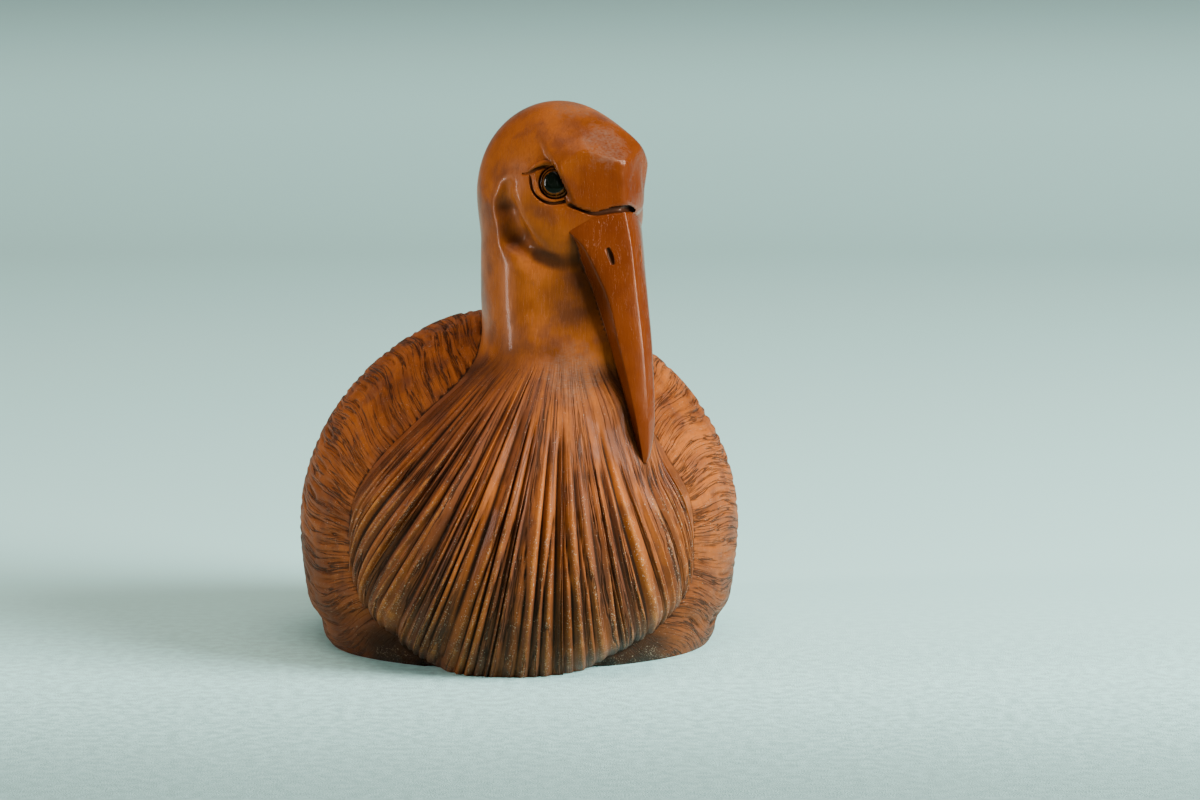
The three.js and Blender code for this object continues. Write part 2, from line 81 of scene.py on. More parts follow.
def through(knots, column):
    """Cubic curve over the rows of a table, whose first column rises."""
    x = np.array([row[0] for row in knots], float)
    y = np.array([row[column] for row in knots], float)
    slope = np.empty_like(y)
    slope[1:-1] = (y[2:] - y[:-2]) / (x[2:] - x[:-2])
    slope[0] = (y[1] - y[0]) / (x[1] - x[0])
    slope[-1] = (y[-1] - y[-2]) / (x[-1] - x[-2])

    def curve(where):
        place = np.clip(where, x[0], x[-1])
        i = np.clip(np.searchsorted(x, place, side="right") - 1, 0, len(x) - 2)
        span = x[i + 1] - x[i]
        t = (place - x[i]) / span
        rise = t * t * (3 - 2 * t)
        bend = span * t * (1 - t) * (slope[i] * (1 - t) - slope[i + 1] * t)
        return y[i] * (1 - rise) + y[i + 1] * rise + bend

    return curve


# %% [markdown]
# The head flows into the neck and the neck into the breast, with soft fillets between them. A field is a
# number that is negative inside the wood and positive outside. Two fields are joined by taking the smaller
# one, and a soft smaller one leaves a fillet. Sculpting by hand could give the same shape, but fields keep
# every size as a number that can be changed.

# %% Soft joins and simple fields
def joined(a, b, blend):
    """The smaller of two fields, rounded where they are within blend of each other."""
    share = np.clip(0.5 + (b - a) / (2 * blend), 0, 1)
    return b * (1 - share) + a * share - blend * share * (1 - share)


def common(a, b, blend):
    """The larger of two fields, rounded the same way."""
    return -joined(-a, -b, blend)


def ellipsoid(points, middle, halves):
    """Near the distance to an ellipsoid: its scaled radius k, times k minus 1, over the slope."""
    offset = points - np.array(middle, float)
    sizes = np.array(halves, float)
    near = np.linalg.norm(offset / sizes, axis=-1)
    steep = np.linalg.norm(offset / sizes ** 2, axis=-1)
    return near * (near - 1) / np.maximum(steep, 1e-6)


def rod(points, start, end):
    """Distance to a tapered rod with round ends; each end is x, y, z and radius."""
    from_end = np.array(start[:3], float)
    along = np.array(end[:3], float) - from_end
    offset = points - from_end
    share = np.clip(offset @ along / (along @ along), 0, 1)
    radius = start[3] + (end[3] - start[3]) * share
    return np.linalg.norm(offset - share[..., None] * along, axis=-1) - radius


def chain(points, stops, blend):
    """Rods from stop to stop, softly joined."""
    field = rod(points, stops[0], stops[1])
    for start, end in zip(stops[1:-1], stops[2:]):
        field = joined(field, rod(points, start, end), blend)
    return field


# %% [markdown]
# The bird's breast is full and low, and its neck rises from it as an even column. Each level is a rounded
# section, given by its half width, the place of its middle, its front and its back, in hundredths of the
# height.

# %% The column of breast and neck
COLUMN_AXIS = -15
COLUMN = [
    # height, half width, middle in X, front in Y, back in Y
    [-3, 13.0, -0.8, -34, -6],
    [0, 16.4, -0.7, -37, -6],
    [3, 21.2, -0.1, -39.8, -6],
    [6, 25.4, 0.5, -42, -6],
    [12, 30.2, 0.7, -45, -5],
    [20, 31.4, 0.7, -46.5, -4],
    [30, 30.2, 0.8, -45.5, -2],
    [37, 26.0, 1.1, -43, 2],
    [45, 19.6, 2.7, -39, 6],
    [53, 13.2, 5.1, -34.5, 8],
    [58, 11.8, 5.5, -32, 7.5],
    [66, 11.9, 5.5, -30.5, -1.5],
    [76, 12.2, 5.9, -30, -5],
    [90, 12.2, 6.7, -30, -5],
]
COLUMN_TOP = 88
COLUMN_SQUARENESS = 2.3
column_half, column_middle, column_front, column_back = [through(COLUMN, i) for i in range(1, 5)]


def column_field(points):
    """Superellipse sections: the shares across and deep, raised to a power, add up to 1 at the skin."""
    height = points[..., 2]
    half = column_half(height)
    across = np.abs(points[..., 0] - column_middle(height)) / half
    behind = points[..., 1] - COLUMN_AXIS
    front = COLUMN_AXIS - column_front(height)
    back = column_back(height) - COLUMN_AXIS
    deep = np.where(behind < 0, -behind / front, behind / back)
    near = (across ** COLUMN_SQUARENESS + deep ** COLUMN_SQUARENESS) ** (1 / COLUMN_SQUARENESS)
    return common((near - 1) * np.minimum(half, front), height - COLUMN_TOP, 6)


# %% [markdown]
# The head is turned to the bird's left, so its parts are placed along its own directions: forward along the
# bill, outward to the bird's right, and up. A round skull carries full cheeks and a blocky brow that ends
# over the bill in two flat facets. A flat forehead is sliced off above them, and a hollow is scooped out
# behind each cheek. Under the bill the throat swells, so that the bill lies against it all the way down.

# %% Head directions and fields
HEAD = np.array([7.7, -17, 84])
HEAD_TURN = math.radians(42)
FORWARD = np.array([math.sin(HEAD_TURN), -math.cos(HEAD_TURN), 0])
OUTWARD = np.array([-math.cos(HEAD_TURN), -math.sin(HEAD_TURN), 0])
UP = np.array([0.0, 0.0, 1.0])
SKULL = np.array([16, 13.5, 16])
CHEEK_MIDDLE = [6, 5, -5]
CHEEK_HALVES = [6.8, 6.6, 6.4]
BROW_MIDDLE = [1.5, 0, 0]
BROW_HALVES = [19.5, 13.7, 14.4]
EYE_POCKET = [16.3, 16, 4.5]
EYE_POCKET_HALVES = [10, 10, 10]
CHEEK_HOLLOW = [
    # forward, outward, up, radius
    [1.4, 13.9, 1.5, 0.5],
    [1.4, 13.9, -2, 1.8],
    [3.3, 13.2, -7, 2.2],
    [7, 12.5, -10, 1.5],
    [12, 9.7, -12.5, 0.8],
]
HOLLOW_BLEND = 2
BROW_FRONT = 17.6
BROW_FLOOR = -1.4
BROW_TILT = 0.08
BROW_DIP = 1.1
BROW_DIP_MIDDLE = 5
BROW_DIP_WIDTH = 2.8
FACET_DIRECTION = [0.862, 0.507]
FACET_CORNER = 1.4
FACET_SET_BACK = 0.75
FLANK_DIRECTION = [-0.669, 0.743]
FLANK_PLACE = 2.1
FLANK_LEAN = 0.5
FLANK_SHRINK = 0.9
FOREHEAD_RISE = 6.3
FOREHEAD_FALL = 0.18
FOREHEAD_SHRINK = 0.7
THROAT = [
    # forward, outward, up, radius
    [7.2, 0, -6, 5.8],
    [6.6, 0, -13, 5.8],
    [6.3, 0, -18, 7.4],
    [8.5, 0, -27, 8.3],
    [11.8, 0, -39, 8],
    [14.8, 0, -47, 6.3],
    [15, 0, -52, 5],
]


def in_head(points):
    """Points in the head's own directions."""
    offset = points - HEAD
    return np.stack([offset @ FORWARD, offset @ OUTWARD, offset[..., 2]], -1)


def from_head(forward, outward, up):
    """Points given in the head's own directions, back in the bird's."""
    forward, outward, up = np.broadcast_arrays(forward, outward, up)
    return HEAD + forward[..., None] * FORWARD + outward[..., None] * OUTWARD + up[..., None] * UP


def mirrored(local):
    """Both sides of the head folded onto the right one."""
    return np.stack([local[..., 0], np.abs(local[..., 1]), local[..., 2]], -1)


def brow_dip(side):
    """How far the under edge of the brow hangs down in the middle of each facet."""
    return BROW_DIP * np.exp(-((side - BROW_DIP_MIDDLE) / BROW_DIP_WIDTH) ** 2)


def brow_field(local):
    """Block between two front facets, flanks that run straight back, a floor and a rounded outside."""
    forward, outward, up = local[..., 0], local[..., 1], local[..., 2]
    side = np.abs(outward)
    from_corner = np.sqrt(outward ** 2 + FACET_CORNER) - FACET_SET_BACK
    facet = (forward - BROW_FRONT) * FACET_DIRECTION[0] + from_corner * FACET_DIRECTION[1]
    leaning = FLANK_PLACE - FLANK_LEAN * (up + 0.3)
    flank = (leaning + FLANK_DIRECTION[0] * forward + FLANK_DIRECTION[1] * side) * FLANK_SHRINK
    under = BROW_FLOOR - brow_dip(side) + BROW_TILT * outward - up
    around = ellipsoid(mirrored(local), BROW_MIDDLE, BROW_HALVES)
    block = common(common(facet, flank, 1), common(under, around, 0.5), 0.5)
    return common(block, 3 - forward, 1)


def bare_head(points):
    """Skull and cheeks with a pocket sunk for each eye, before the brow is laid over them."""
    local = in_head(points)
    skull = ellipsoid(local, [0, 0, 0], SKULL)
    cheek = ellipsoid(mirrored(local), CHEEK_MIDDLE, CHEEK_HALVES)
    pocket = ellipsoid(mirrored(local), EYE_POCKET, EYE_POCKET_HALVES)
    return common(joined(skull, cheek, 2), -pocket, 0.8)


def head_field(points):
    """The bare head and the brow under a flat forehead, which slopes up from the brow's front edge."""
    local = in_head(points)
    whole = joined(bare_head(points), brow_field(local), 1.1)
    forehead = FOREHEAD_RISE + (BROW_FRONT - local[..., 0]) - FOREHEAD_FALL * np.abs(local[..., 1])
    return common(whole, (local[..., 2] - forehead) * FOREHEAD_SHRINK, 0.4)


def front_field(points):
    """Breast, neck, throat and head, with the cheek hollows taken out."""
    local = in_head(points)
    neck = joined(column_field(points), chain(local, THROAT, 3), 3)
    whole = joined(neck, head_field(points), 2)
    return common(whole, -chain(mirrored(local), CHEEK_HOLLOW, 1), HOLLOW_BLEND)


# %% [markdown]
# A field says where the wood is, but a mesh needs points on its skin. Rays leave a line up the middle of
# the bird at even angles, and the crossing on each is closed in on by halving. Voxel remeshing would find
# the skin too, but rays keep the columns of the grid in line with the carved ridges. The rays are first
# walked inwards from outside, so that a ray that crosses twice always takes the outer skin.

# %% Find the skin along rays
RAY_REACH = 60
RAY_STOPS = 24
HALVINGS = 14


def surface_along(field, origins, directions):
    """Distance to the outer skin: the last stop inside, closed in on by halving."""
    outside = np.full(origins.shape[:-1], float(RAY_REACH))
    inside = np.zeros_like(outside)
    found = np.zeros(outside.shape, bool)
    for stop in np.linspace(RAY_REACH, 0, RAY_STOPS + 1)[1:]:
        wood = ~found & (field(origins + directions * stop) < 0)
        inside = np.where(wood, stop, inside)
        found |= wood
        outside = np.where(found, outside, stop)
    for _ in range(HALVINGS):
        middle = (inside + outside) / 2
        wood = field(origins + directions * middle[..., None]) < 0
        inside = np.where(wood, middle, inside)
        outside = np.where(wood, outside, middle)
    return (inside + outside) / 2


# %% [markdown]
# Long V cuts fan out in straight lines from one point under the throat and run off the edge of the breast.
# The ridges between them split lower down. The place of every cut is a smooth function of its number and
# the height, so a column of the grid can follow each valley exactly and the cuts stay crisp.

# %% Place and depth of the flutes
FLUTES = 32
FAN_START = math.radians(-80)
FAN_END = math.radians(82)
FAN_FOCUS_X = 8.2
FAN_FOCUS_HEIGHT = 66.4
FAN_SLOPE = -1.13
FAN_SPREAD = 2.49
FAN_CLOSING = 0.6
FLUTE_TOP = 57
DEEPEST_FLUTE = 1.25


def fan_drop(height):
    """How far below the focus a height is."""
    return np.maximum(FAN_FOCUS_HEIGHT - height, 6)


def flute_place(flute, height):
    """Angle of a line of the fan: its slope times the drop gives the place across, held inside the
    section, and the section's depth there turns it into an angle. On the head the angles are even."""
    share = (flute + 0.22 * np.sin(1.7 * flute) + 0.1 * np.sin(3.9 * flute + 1)) / FLUTES
    slope = FAN_SLOPE + FAN_SPREAD * share - FAN_CLOSING * share ** 2
    half, front = column_half(height), COLUMN_AXIS - column_front(height)
    wide = (FAN_FOCUS_X + slope * fan_drop(height) - column_middle(height)) / half
    wide = wide / (1 + np.abs(wide) ** 8) ** (1 / 8)
    deep = (1 - np.abs(wide) ** COLUMN_SQUARENESS) ** (1 / COLUMN_SQUARENESS)
    even = FAN_START + (FAN_END - FAN_START) * flute / FLUTES
    relaxed = smooth(height, 54, 70)
    return np.arctan2(wide * half, deep * front) * (1 - relaxed) + even * relaxed


def flute_start(number, seed):
    """Height where a cut begins: ragged, and lower in the middle and beside the bill."""
    share = number / FLUTES
    lower = 8 * smooth(share, 0.3, 0.45)
    return FLUTE_TOP - lower - 5 * smooth(share, 0.6, 0.75) - 7 * mixed(number, seed)


def flute_depth(flute, height):
    """Depth of the cuts: valleys at whole numbers with a crest off the middle between them, a fork that
    leaves each valley and runs to the middle of the ridge, and fine scores; all shallower where the lines
    run close together."""
    share = flute / FLUTES
    spacing = (FAN_SPREAD - 2 * FAN_CLOSING * share) / FLUTES * fan_drop(height)
    ridge = np.floor(flute)
    across = flute - ridge
    start = flute_start(ridge, 1) * (1 - across) + flute_start(ridge + 1, 1) * across
    crest = 0.3 + 0.1 * np.floor(5 * mixed(ridge, 7))
    facet = np.where(across < crest, 1 - across / crest, (across - crest) / (1 - crest))
    cut = 0.75 + 0.5 * (mixed(ridge, 3) * (1 - across) + mixed(ridge + 1, 3) * across)
    main = cut * facet ** 1.3 * smooth(height, start, start - 7)
    fork_start = flute_start(ridge, 2) - 5 - 14 * mixed(ridge, 4)
    side = np.where(mixed(ridge, 5) < 0.5, -1, 1)
    split = ridge + 0.5 + 0.36 * side * smooth(height, fork_start - 20, fork_start)
    away = np.abs(flute - split)
    fork = np.clip(1 - 2.6 * away, 0, 1) ** 2 * smooth(height, fork_start, fork_start - 6)
    fork = fork * (0.6 + 0.4 * mixed(ridge, 6))
    broken = smooth(np.sin(0.23 * height + 5 * ridge), 0.1, 0.8) * smooth(height, start, start - 12)
    score = 0.3 * np.clip(1 - 8 * np.abs(away - 0.27), 0, 1) * broken
    fade = smooth(share, -0.01, 0.02) * smooth(share, 1.01, 0.98)
    deepest = np.minimum(0.5 * spacing, DEEPEST_FLUTE)
    return fade * deepest * np.maximum(np.maximum(main, fork), score)


# %% [markdown]
# Every skin here is a stack of rings. The rings are turned into a closed mesh at once, from whole arrays.
# Each corner of a face also gets two numbers along and across the carving, as a UV map named flow, so that
# the finish can follow the cuts of the knife. Each face gets a zone: 0 front, 1 body, 2 bill.

# %% Closed skins from stacks of rings
def wall_faces(number, looped):
    """Quads between neighbouring rings; a looped stack joins its last ring to its first."""
    ahead = np.roll(number, -1, 1)
    quads = np.stack([number, ahead, np.roll(ahead, -1, 0), np.roll(number, -1, 0)], -1)
    return (quads if looped else quads[:-1]).reshape(-1, 4)


def mesh_of(name, points, loops, sizes):
    """A mesh in metres from points in hundredths, face corners and the number of corners of each face."""
    mesh = bpy.data.meshes.new(name)
    mesh.vertices.add(len(points))
    mesh.vertices.foreach_set("co", (points * HUNDREDTH).ravel())
    mesh.loops.add(len(loops))
    mesh.loops.foreach_set("vertex_index", loops)
    mesh.polygons.add(len(sizes))
    mesh.polygons.foreach_set("loop_start", np.cumsum(sizes) - sizes)
    mesh.polygons.foreach_set("loop_total", sizes)
    mesh.update(calc_edges=True)
    return mesh


def in_scene(name, data):
    """A new object over some data, linked to the scene."""
    made = bpy.data.objects.new(name, data)
    bpy.context.scene.collection.objects.link(made)
    return made


def skin(name, rings, flow=None, tip=None, looped=False, zone=0):
    """Closed skin over rings: walls between them, and a fan on a middle point at each open end."""
    rows, columns = rings.shape[:2]
    walls = wall_faces(np.arange(rows * columns).reshape(rows, columns), looped)
    spots = (rings - rings.mean((0, 1))).reshape(-1, 3)[walls]
    volume = (np.cross(spots[:, 0], spots[:, 1]) * spots[:, 2]).sum()
    points = rings.reshape(-1, 3)
    grid = np.zeros((rows * columns, 2)) if flow is None else flow.reshape(-1, 2)
    fans = np.zeros((0, 3), int)
    if not looped:
        last = rings[-1].mean(0) if tip is None else np.array(tip, float)
        points = np.concatenate([points, rings[0].mean(0)[None], last[None]])
        grid = np.concatenate([grid, grid[:1], grid[-1:]])
        around = np.arange(columns)
        beyond = np.roll(around, -1)
        top = (rows - 1) * columns
        low = np.stack([beyond, around, around * 0 + rows * columns], -1)
        high = np.stack([top + around, top + beyond, around * 0 + rows * columns + 1], -1)
        fans = np.concatenate([low, high])
    if volume < 0:
        walls, fans = walls[:, ::-1], fans[:, ::-1]
    loops = np.concatenate([walls.ravel(), fans.ravel()])
    sizes = np.concatenate([np.full(len(walls), 4), np.full(len(fans), 3)])
    mesh = mesh_of(name, points, loops, sizes)
    mesh.uv_layers.new(name="flow").data.foreach_set("uv", grid[loops].ravel())
    zones = mesh.attributes.new("zone", "FLOAT", "FACE")
    zones.data.foreach_set("value", np.full(len(sizes), float(zone)))
    return in_scene(name, mesh)


# %% [markdown]
# The columns are close together where the flutes, the eyes and the brow are, and wide apart at the back of
# the neck. The rays start level and then fan up over the crown.

# %% Carve the front of the bird
COLUMNS_PER_FLUTE = 10


def spaced(*stops):
    """Even steps between stops, each given with its number of steps to the next one."""
    runs = zip(stops[:-2:2], stops[2::2], stops[1::2])
    return np.concatenate([np.linspace(start, end, steps, endpoint=False) for start, end, steps in runs])


flutes = np.arange(FLUTES * COLUMNS_PER_FLUTE) / COLUMNS_PER_FLUTE
rest = spaced(0, 46, 0.24, 30, 1)[None, :]
heights = spaced(-3, 72, 56, 20, 74, 22, HEAD[2])
lifts = spaced(0, 30, math.radians(50), 14, math.pi / 2)
ring_height = np.concatenate([heights, np.full(len(lifts), HEAD[2])])[:, None]
ring_lift = np.concatenate([np.zeros(len(heights)), lifts])[:, None]
fan_angles = flute_place(flutes[None, :], ring_height)
fan_last = flute_place(FLUTES, ring_height)
angles = np.concatenate([fan_angles, fan_last + rest * (fan_angles[:, :1] + math.tau - fan_last)], 1)
level = np.cos(ring_lift)
directions = np.stack([np.sin(angles) * level, -np.cos(angles) * level, np.sin(ring_lift) + 0 * angles], -1)
climb = smooth(ring_height, 50, HEAD[2])
origin_x = column_middle(ring_height) * (1 - climb) + HEAD[0] * climb
origin_y = COLUMN_AXIS * (1 - climb) + HEAD[1] * climb
origins = np.stack([origin_x, origin_y, ring_height], -1) + 0 * directions
reach = surface_along(front_field, origins, directions)
flute_number = np.concatenate([flutes, np.full(rest.size, float(FLUTES))])[None, :]
reach = reach - flute_depth(flute_number, ring_height) * (ring_lift == 0)
front_rings = origins + directions * reach[..., None]
front_flow = np.stack([flute_number + 0 * ring_height, ring_height / 10 + 0 * flute_number], -1)
crown = surface_along(front_field, HEAD[None], UP[None])[0]
front_tip = HEAD + crown * UP
ibis = skin("ibis_carving", front_rings, front_flow, tip=front_tip)
print("front of the bird:", front_rings.shape[:2], "rings and columns")


# %% [markdown]
# The closed wings make a full round body that narrows to the tail. It is a surface of two angles: along,
# from the front to the tail, and around, from the top. Over the shoulders the carver left short curved
# strokes. Behind them lie rows of overlapping feathers, each with its shaft and slanting barbs, and then
# the long flight feathers. The rings follow the scalloped feather ends, so each step in the wood is sharp.

# %% Body and feather shapes
BODY_HALF = 39.6
BODY_MIDDLE = [0, 4, 22]
BODY_FRONT = 39
BODY_BACK = 39
TAIL_DROP = 11
WING_EDGE = 116
RIM_SQUARENESS = 2.25
SECTION = [
    # degrees from the top, rise over a circle
    [0, 0],
    [30, -0.5],
    [45, -0.5],
    [60, -0.2],
    [75, 0.3],
    [90, 0.7],
    [102, 1.0],
    [112, 1.9],
    [118, 2.2],
    [125, 1.6],
    [135, 0.4],
    [150, 0],
    [180, 0],
]
section_rise = through(SECTION, 1)
FEATHER_ROWS = [
    # tips from the front pole, length, width round the body, in degrees
    [107, 14, 12.8],
    [118, 15, 12.8],
    [129, 16, 12.8],
    [154, 30, 10],
]
FEATHER_RISE = 1.5
FEATHER_POINT = 0.32
STROKE_LANE = 2.6
STROKE_LENGTH = 15
STROKE_DEPTH = 0.5
SPINE_RISE = 2.2
NOTCH_DEPTH = 1.1
FEATHERS_FROM = 93
BODY_STARTS_AT = 12
BODY_ENDS_AT = 173
EDGE_GAP = 0.35


def feather_across(row, around):
    """From -1 to 1 across the feather of a row that lies at an angle round the body."""
    lane = np.abs(around) / FEATHER_ROWS[row][2] + (row % 2) / 2
    return 2 * (lane - np.floor(lane)) - 1


def feather_end(row, around):
    """Where a row ends: its tip, drawn back by the square of the share across."""
    tip, length, _ = FEATHER_ROWS[row]
    return tip - FEATHER_POINT * length * feather_across(row, around) ** 2


def feather_rise(along, around):
    """Height of the feathers: a ramp up to each tip, with a shaft, barbs and a pit between two tips."""
    rise = np.zeros_like(along)
    for row in reversed(range(len(FEATHER_ROWS))):
        length = FEATHER_ROWS[row][1]
        across = feather_across(row, around)
        end = feather_end(row, around)
        share = 1 - (end - along) / length
        barbs = share * length / 2.7 + 1.6 * np.abs(across)
        groove = (1 - 2 * np.abs(barbs - np.round(barbs))) ** 2
        shaft = np.exp(-(across / 0.13) ** 2)
        shape = np.clip(share, 0, 1) * (1 - 0.4 * across ** 2) - 0.16 * groove * (1 - shaft) + 0.12 * shaft
        rise = np.where(share < 1, shape, rise)
        pit = np.exp(-((np.abs(across) - 1) / 0.2) ** 2 - ((along - end - 1.1) / 1.3) ** 2)
        rise = rise - 0.5 * pit * (row < 3)
    reach = smooth(along, FEATHERS_FROM, 101) * smooth(np.abs(around), WING_EDGE, WING_EDGE - 6)
    return FEATHER_RISE * (rise * reach - 0.6 * smooth(along, 88, 108))


def stroke_lane(along, around):
    """Number of the lane that a stroke lies in: even steps round the body, bent by two waves."""
    lane = around / STROKE_LANE + 0.7 * np.sin(along / 11 + around / 29)
    return lane + 0.3 * np.sin(along / 5 - around / 13)


def stroke_depth(along, around):
    """Short curved gouge strokes: narrow lanes round the body, broken into staggered lengths."""
    lane = stroke_lane(along, around)
    number = np.round(lane)
    run = along / STROKE_LENGTH + 7 * mixed(number, 1)
    part = np.floor(run)
    share = run - part
    curl = 0.35 * (2 * share - 1) ** 2
    away = np.abs(lane + curl - 0.15 - number)
    cut = np.clip(1 - 2.3 * away, 0, 1) ** 1.3
    held = smooth(share, 0.04, 0.2) * smooth(share, 1.0, 0.62)
    strength = 0.35 + 0.65 * mixed(number + 31 * part, 2)
    where = smooth(along, 105, FEATHERS_FROM) * smooth(np.abs(around), WING_EDGE + 12, WING_EDGE)
    return STROKE_DEPTH * cut * held * strength * where


def body_surface(along, around):
    """Round body: an ellipse in front, fuller at the rims; a power curve behind, lowered to the tail."""
    side = np.abs(around)
    cosine = np.cos(np.radians(along))
    back = np.maximum(-cosine, 0)
    rim = (1 - np.maximum(cosine, 0) ** RIM_SQUARENESS) ** (1 / RIM_SQUARENESS)
    low = smooth(side, 92, WING_EDGE)
    front = np.sin(np.radians(along)) * (1 - low) + rim * low
    full = np.where(back > 0, (1 - back ** 1.75) ** 0.7, front)
    length = np.where(back > 0, BODY_BACK, BODY_FRONT)
    notch = NOTCH_DEPTH * np.exp(-((side - WING_EDGE) / 3.5) ** 2) - section_rise(side)
    spine = SPINE_RISE * np.exp(-(side / 11) ** 2) * smooth(along, 70, 110)
    relief = feather_rise(along, around) - notch - spine - stroke_depth(along, around)
    radius = BODY_HALF * full + relief * full ** 0.5
    turn = np.radians(around)
    return np.stack([
        BODY_MIDDLE[0] + radius * np.sin(turn),
        BODY_MIDDLE[1] - length * np.cos(np.radians(along)),
        BODY_MIDDLE[2] - TAIL_DROP * back ** 1.5 + radius * np.cos(turn),
    ], -1)


# %% Carve the body
turns = spaced(-128, 394, 128, 10, 232)
turns = np.where(turns > 180, turns - 360, turns)[None, :]
lines = [np.full_like(turns, float(line)) for line in (BODY_STARTS_AT, FEATHERS_FROM)]
lines += [feather_end(row, turns) for row in range(len(FEATHER_ROWS))]
lines += [np.full_like(turns, float(BODY_ENDS_AT))]
rows_between = [58, 9, 9, 10, 18, 8]
alongs = []
for before, after, rows in zip(lines[:-1], lines[1:], rows_between):
    shares = np.linspace(0, 1, rows)[:, None]
    alongs.append(before + EDGE_GAP + (after - before - 2 * EDGE_GAP) * shares)
alongs = np.concatenate(alongs)
body_rings = body_surface(alongs, turns + 0 * alongs)
body_flow = np.stack([stroke_lane(alongs, turns), alongs / 10], -1)
body = skin("body", body_rings, body_flow, zone=1)
print("body:", body_rings.shape[:2], "rings and columns")

# %% [markdown]
# The bill is long and curved, with a sharp ridge in front. The upper bill's sides run straight to the edge
# where it closes, and the lower bill behind that edge is round. Its section is carried down the breast.

# %% Carve the bill
BILL_TIP = 37.4
BILL = [
    # height, ridge, half width, reach in front of the widest place, reach behind it
    [BILL_TIP, 22.6, 0.3, 0.2, 0.4],
    [39, 23.2, 0.9, 0.4, 1.6],
    [43, 23.4, 1.8, 0.6, 3.0],
    [46, 23.3, 2.25, 0.8, 3.6],
    [51, 22.8, 2.9, 1.2, 4.2],
    [58.3, 21.9, 3.8, 1.8, 6.2],
    [66.4, 20.5, 4.6, 2.4, 8.4],
    [70.6, 19.8, 5.5, 3.3, 9.4],
    [75.6, 18.9, 7.0, 4.7, 9.4],
    [79, 18.0, 8.9, 6.6, 8.0],
    [82.5, 16.8, 8.8, 7.0, 7.5],
    [86, 14.5, 7.5, 6.5, 7],
]
BILL_SQUARENESS = 1.18
bill_ridge, bill_half, bill_front, bill_back = [through(BILL, i) for i in range(1, 5)]


def power(value, squareness):
    """Sign kept, size raised to 2 over the squareness."""
    return np.sign(value) * np.abs(value) ** (2 / squareness)


def bill_surface(height, turn):
    """In front of the widest place a near kite, by powers of cosine and sine; half an ellipse behind it."""
    cosine, sine = np.cos(turn), np.sin(turn)
    before = cosine > 0
    deep = np.where(before, bill_front(height) * power(cosine, BILL_SQUARENESS), bill_back(height) * cosine)
    wide = bill_half(height) * np.where(before, power(sine, BILL_SQUARENESS), sine)
    return from_head(bill_ridge(height) - bill_front(height) + deep, wide, height - HEAD[2])


bill_heights = spaced(86, 100, 44, 24, BILL_TIP)[:, None]
bill_turns = (np.arange(72) * math.tau / 72)[None, :]
bill_rings = bill_surface(bill_heights + 0 * bill_turns, bill_turns + 0 * bill_heights)
bill_flow = np.stack([bill_turns * 3 + 0 * bill_heights, bill_heights / 10 + 0 * bill_turns], -1)
bill = skin("bill", bill_rings, bill_flow, zone=2)

# %% [markdown]
# The bird stands on its breast and on the rims of its wings. Between them the wood is hollowed out, and the
# belly, the folded legs and the short tail are left standing in it. A tunnel for the cord runs in through
# one hole and out through the other, and the wider hole hides the knot.

# %% Belly, tail, legs and cord tunnel
BELLY_MIDDLE = [0, 5, 12.5]
BELLY_HALVES = [17, 25, 11]
CORD_HOLE_DIAMETER = 0.0024 / HUNDREDTH
KNOT_HOLE_DIAMETER = 0.0036 / HUNDREDTH
KNOT_HOLE_DEPTH = 0.0022 / HUNDREDTH
CORD_HOLE_SPACING = 0.008 / HUNDREDTH
TUNNEL_MIDDLE = np.array([0, 8, BELLY_MIDDLE[2] - BELLY_HALVES[2]])
TOES = [[4, -13], [9.5, -15], [14, -13]]


def lump(name, middle, halves, squareness, columns, rows):
    """Superellipsoid: powers of the sines and cosines of two angles."""
    lift = np.radians(np.linspace(-90, 90, rows + 1)[1:-1])[:, None]
    turn = np.arange(columns)[None, :] * math.tau / columns
    level = power(np.cos(lift), squareness)
    rings = np.stack([
        middle[0] + halves[0] * level * power(np.cos(turn), squareness),
        middle[1] + halves[1] * level * power(np.sin(turn), squareness),
        middle[2] + halves[2] * power(np.sin(lift), squareness) + 0 * turn,
    ], -1)
    return skin(name, rings)


def tube(name, path, radius, sides, closed=False):
    """Rings of a radius across the path, each turned by the path's own direction."""
    path = np.array(path, float)
    radius = np.broadcast_to(np.array(radius, float), (len(path),))
    if closed:
        ahead = np.roll(path, -1, 0) - np.roll(path, 1, 0)
    else:
        ahead = np.gradient(path, axis=0)
    ahead = ahead / np.linalg.norm(ahead, axis=1, keepdims=True)
    spread = np.ptp(path, axis=0)
    steady = np.eye(3)[int(np.argmin(spread))]
    across = np.cross(ahead, steady)
    across = across / np.linalg.norm(across, axis=1, keepdims=True)
    other = np.cross(ahead, across)
    turn = np.arange(sides) * math.tau / sides
    ring = across[:, None] * np.cos(turn)[None, :, None] + other[:, None] * np.sin(turn)[None, :, None]
    rings = path[:, None] + ring * radius[:, None, None]
    return skin(name, rings, looped=closed)


def limb(name, start, end):
    """Tapered rod with rounded ends, from x, y, z and radius to the same."""
    ends, share = np.array([start, end], float), np.linspace(0, 1, 9)[:, None]
    path = ends[0, :3] + (ends[1, :3] - ends[0, :3]) * share
    radius = ends[0, 3] + (ends[1, 3] - ends[0, 3]) * share[:, 0]
    unit = (ends[1, :3] - ends[0, :3]) / np.linalg.norm(ends[1, :3] - ends[0, :3])
    angle = np.radians([80, 55, 30])
    before = ends[0, :3] - unit * (ends[0, 3] * np.sin(angle))[:, None]
    after = ends[1, :3] + unit * (ends[1, 3] * np.sin(angle[::-1]))[:, None]
    path = np.concatenate([before, path, after])
    radius = np.concatenate([ends[0, 3] * np.cos(angle), radius, ends[1, 3] * np.cos(angle[::-1])])
    return tube(name, path, radius, 14)


